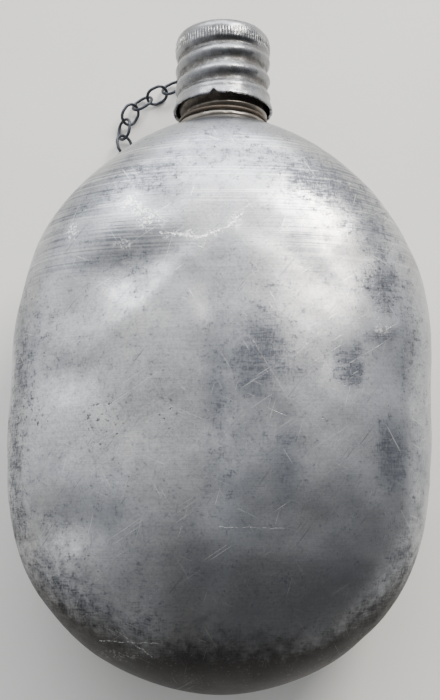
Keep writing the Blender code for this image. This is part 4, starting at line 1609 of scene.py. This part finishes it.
@dataclass(frozen=True)
class Collar:
    """The wire ring in the neck's groove with the eye that holds the chain."""

    size: CollarSize
    datum: Datum

    def build(self, tree: WireTree, finish: bpy.types.Material) -> bpy.types.Object:
        """Build the collar.

        Args:
            tree: The wire tree.
            finish: Its material.

        Returns:
            The piece that stands for the CAD collar.
        """
        s = self.size
        turn = np.linspace(0.0, 2.0 * math.pi, 120, endpoint=False)[:, None]
        down, across = np.array([0.0, 0.0, -1.0]), np.array([1.0, 0.0, 0.0])
        centre = np.array([0.0, s.at, 0.0])
        ring = centre + s.ring * (np.cos(turn) * down + np.sin(turn) * across)
        eye = centre + down * (s.ring + s.eye - s.overlap) + s.eye * (np.cos(turn) * down + np.sin(turn) * across)
        paths = path_mesh("collar_skin", [(ring, True), (eye[::3], True)], self.datum)
        obj = tree.lay(paths, s.wire, finish, 3.0)
        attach(obj, Body.COLLAR.value)
        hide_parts("collar_wire")
        return obj


@dataclass(frozen=True)
class LinkSize:
    """Sizes of one chain link in millimetres."""

    wire: Wire = Wire(0.55, 18, 0.36, 0.13, 520.0)
    bend: float = 3.15
    straight: float = 1.4
    middle: float = 2.45


@dataclass(frozen=True)
class Chain:
    """All links of the retaining chain, laid where the frame's joints, by child body, put them."""

    size: LinkSize
    datum: Datum
    joints: Dict[str, Dict[str, Any]]

    def loop(self, name: str, number: int) -> np.ndarray:
        """Path of one link, very slightly out of true.

        Args:
            name: Body and node name of the link.
            number: Its place in the chain, used as a seed.

        Returns:
            Points in design millimetres.
        """
        s = self.size
        joint = self.joints[name]
        pivot = self.datum.design(np.array(joint["pos_m"]))
        normal = np.array(joint["axis"], float)
        low, high = (np.array(corner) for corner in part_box(name))
        direction = self.datum.design((low + high) / 2.0) - pivot
        direction -= normal * (direction @ normal)
        direction /= np.linalg.norm(direction)
        across = np.cross(normal, direction)
        rng = np.random.default_rng(100 + number)
        turn = np.linspace(-math.pi / 2.0, math.pi / 2.0, 22)
        squeeze = 1.0 + rng.uniform(-0.010, 0.004)
        points = []
        for end in (1.0, -1.0):
            for t in turn:
                u = s.middle + end * (s.straight / 2.0 + s.bend * math.cos(t))
                points.append(pivot + direction * u + across * (end * s.bend * squeeze * math.sin(t)))
        return np.array(points)

    def build(self, tree: WireTree, finish: bpy.types.Material) -> List[bpy.types.Object]:
        """Build every link.

        Args:
            tree: The wire tree.
            finish: Their material.

        Returns:
            One piece per link.
        """
        names = sorted(name for name in self.joints if "_link_" in name)
        links = []
        for number, name in enumerate(names):
            base = path_mesh(f"{name}_skin", [(self.loop(name, number), True)], self.datum)
            obj = tree.lay(base, self.size.wire, finish, 10.0 + number)
            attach(obj, name)
            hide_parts(name)
            links.append(obj)
        return links


# ------------------------------------------------------------------------------------------------ studio


@dataclass(frozen=True)
class Softbox:
    """A soft area light: place, aim, size in metres, power in watts and colour."""

    name: str
    place: Point
    aim: Point
    width: float
    height: float
    power: float
    colour: Colour


@dataclass(frozen=True)
class StudioSize:
    """Sizes of the studio: camera in design millimetres, lights in metres."""

    eye: Point = (-0.95, 44.9, 313.2)
    tilt: float = 10.83
    lens: float = 51.43
    floor: float = 6.0
    sky_colour: Colour = (0.965, 0.98, 1.0)
    sky_from: float = -0.55
    sky_dim: float = 0.10
    sky_bright: float = 1.62
    sky_left: float = 0.55
    lights: Tuple[Softbox, ...] = (
        Softbox("long_window", (-0.10, 1.65, 0.95), (0.0, 0.02, 0.03), 2.3, 1.2, 38.0, (0.97, 0.985, 1.0)),
        Softbox("warm_corner", (0.56, 0.86, 0.86), (0.03, 0.03, 0.06), 0.46, 0.46, 17.0, (1.0, 0.94, 0.86)),
    )


@dataclass(frozen=True)
class Studio:
    """Floor, sky, lights and camera."""

    size: StudioSize
    datum: Datum

    def build(self, finish: bpy.types.Material) -> None:
        """Build the whole set.

        Args:
            finish: The floor's material.
        """
        self._floor(finish)
        self._sky()
        for light in self.size.lights:
            self._light(light)
        self._camera()

    def _floor(self, finish: bpy.types.Material) -> None:
        """Lay the pale floor under the frame.

        Args:
            finish: Its material.
        """
        half = self.size.floor / 2.0
        mesh = bpy.data.meshes.new("pale_floor")
        corners = [(-half, -half, 0.0), (half, -half, 0.0), (half, half, 0.0), (-half, half, 0.0)]
        mesh.from_pydata(corners, [], [(0, 1, 2, 3)])
        link_object("pale_floor", mesh, finish)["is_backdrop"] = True

    def _sky(self) -> None:
        """Soft surroundings, brighter beyond the cap end."""
        size = self.size
        world = bpy.data.worlds.new("soft_studio")
        bpy.context.scene.world = world
        world.use_nodes = True
        sky = Nodes(world.node_tree)
        x, y, _ = sky.parts(sky.node("ShaderNodeTexCoord", output="Generated"))
        glow = y.ramp(size.sky_from, 1.0, size.sky_dim, size.sky_bright) + (x * -size.sky_left).limit()
        background = world.node_tree.nodes["Background"]
        sky.feed(background.inputs["Color"], size.sky_colour)
        sky.feed(background.inputs["Strength"], glow)

    def _light(self, box: Softbox) -> None:
        """Hang one softbox.

        Args:
            box: Where it hangs, and what it gives.
        """
        data = bpy.data.lights.new(box.name, "AREA")
        data.shape = "RECTANGLE"
        data.size, data.size_y, data.energy, data.color = box.width, box.height, box.power, box.colour
        obj = bpy.data.objects.new(box.name, data)
        bpy.context.scene.collection.objects.link(obj)
        obj.location = box.place
        aim = np.array(box.aim) - np.array(box.place)
        obj.rotation_euler = (math.atan2(math.hypot(aim[0], aim[1]), -aim[2]), 0.0, math.atan2(-aim[0], aim[1]))

    def _camera(self) -> None:
        """Set the camera above the lower half of the shell, tipped towards the cap."""
        data = bpy.data.cameras.new("camera")
        data.lens = self.size.lens
        data.clip_start = 0.01
        obj = bpy.data.objects.new("camera", data)
        bpy.context.scene.collection.objects.link(obj)
        obj.location = tuple(self.datum.world(np.array(self.size.eye)))
        obj.rotation_euler = (math.radians(self.size.tilt), 0.0, 0.0)
        bpy.context.scene.camera = obj


# ------------------------------------------------------------------------------------------------ assembly


@dataclass(frozen=True)
class Finishes:
    """Every finish of the canteen."""

    shell: ShellFinish = ShellFinish()
    neck: TurnedFinish = TurnedFinish(
        "brown_neck_aluminium", light=(0.27, 0.25, 0.222), dull=(0.145, 0.125, 0.105), grime_and_shade=(0.034, 0.027, 0.021),
        roughness=0.32, tarnish=0.55, groove_radius=13.5, ridge_radius=14.6)
    cap: TurnedFinish = TurnedFinish(
        "worn_cap_aluminium", light=(0.280, 0.286, 0.302), dull=(0.165, 0.158, 0.150), grime_and_shade=(0.034, 0.031, 0.028),
        roughness=0.27, tarnish=0.36, groove_radius=14.75, ridge_radius=15.7, band=(204.8, 208.8), band_marks=104)
    fitting: IronFinish = IronFinish(
        "dull_fitting_steel", metal=(0.40, 0.395, 0.385), scale=(0.27, 0.265, 0.26), rust=(0.16, 0.095, 0.055),
        roughness=0.38, rusty=0.15, metallic=1.0)
    chain: IronFinish = IronFinish(
        "dark_chain_iron", metal=(0.070, 0.076, 0.090), scale=(0.040, 0.045, 0.056), rust=(0.070, 0.040, 0.026),
        roughness=0.42, rusty=0.18)
    collar: IronFinish = IronFinish(
        "brown_collar_iron", metal=(0.120, 0.100, 0.082), scale=(0.075, 0.062, 0.050), rust=(0.125, 0.075, 0.042),
        roughness=0.50, rusty=0.40, metallic=0.7)
    gasket: RubberFinish = RubberFinish()
    floor: FloorFinish = FloorFinish()


def repaint(name: str, finish: bpy.types.Material) -> None:
    """Give a carried-over CAD node its detailed finish.

    Args:
        name: CAD node.
        finish: Material that takes the place of every one of its slots.
    """
    mesh = frame["nodes"][name].data
    for i in range(len(mesh.materials)):
        mesh.materials[i] = finish
    if not mesh.materials:
        mesh.materials.append(finish)


def plain(corners: Any) -> Any:
    """Nested tuples or vectors as plain lists."""
    return [plain(value) for value in corners] if hasattr(corners, "__len__") else float(corners)


def main() -> None:
    """Build the canteen's looks, piece by piece, and its studio."""
    logging.basicConfig(level=logging.INFO, format="%(name)s: %(message)s")
    datum = Datum.from_frame()
    finishes = Finishes()
    thread = ThreadSize()
    wire = WireTree()
    LOG.info("shell")
    Shell(ShellSize(), datum).build(finishes.shell.build(datum))
    LOG.info("neck")
    Ferrule(FerruleSize(), thread, datum).build(finishes.neck.build(datum))
    LOG.info("cap")
    cap = Cap(CapSize(), thread, datum)
    cap_metal = finishes.cap.build(datum)
    cap.build(cap_metal)
    cap.knurl(KnurlTree(), cap_metal)
    LOG.info("fittings")
    steel = finishes.fitting.build(datum)
    Swivel(SwivelSize(), datum).build(wire, steel)
    repaint("swivel_rivet", steel)
    repaint("rivet_washer", steel)
    repaint("cap_gasket", finishes.gasket.build(datum))
    LOG.info("collar and chain")
    Collar(CollarSize(), datum).build(wire, finishes.collar.build(datum))
    joints = {joint["child"]: joint for joint in frame["joints"]}
    Chain(LinkSize(), datum, joints).build(wire, finishes.chain.build(datum))
    LOG.info("studio")
    Studio(StudioSize(), datum).build(finishes.floor.build(datum))
    json.dumps({"frame": plain(FRAME_BOUNDS), "visual": plain(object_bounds())})


if __name__ == "__main__":
    main()
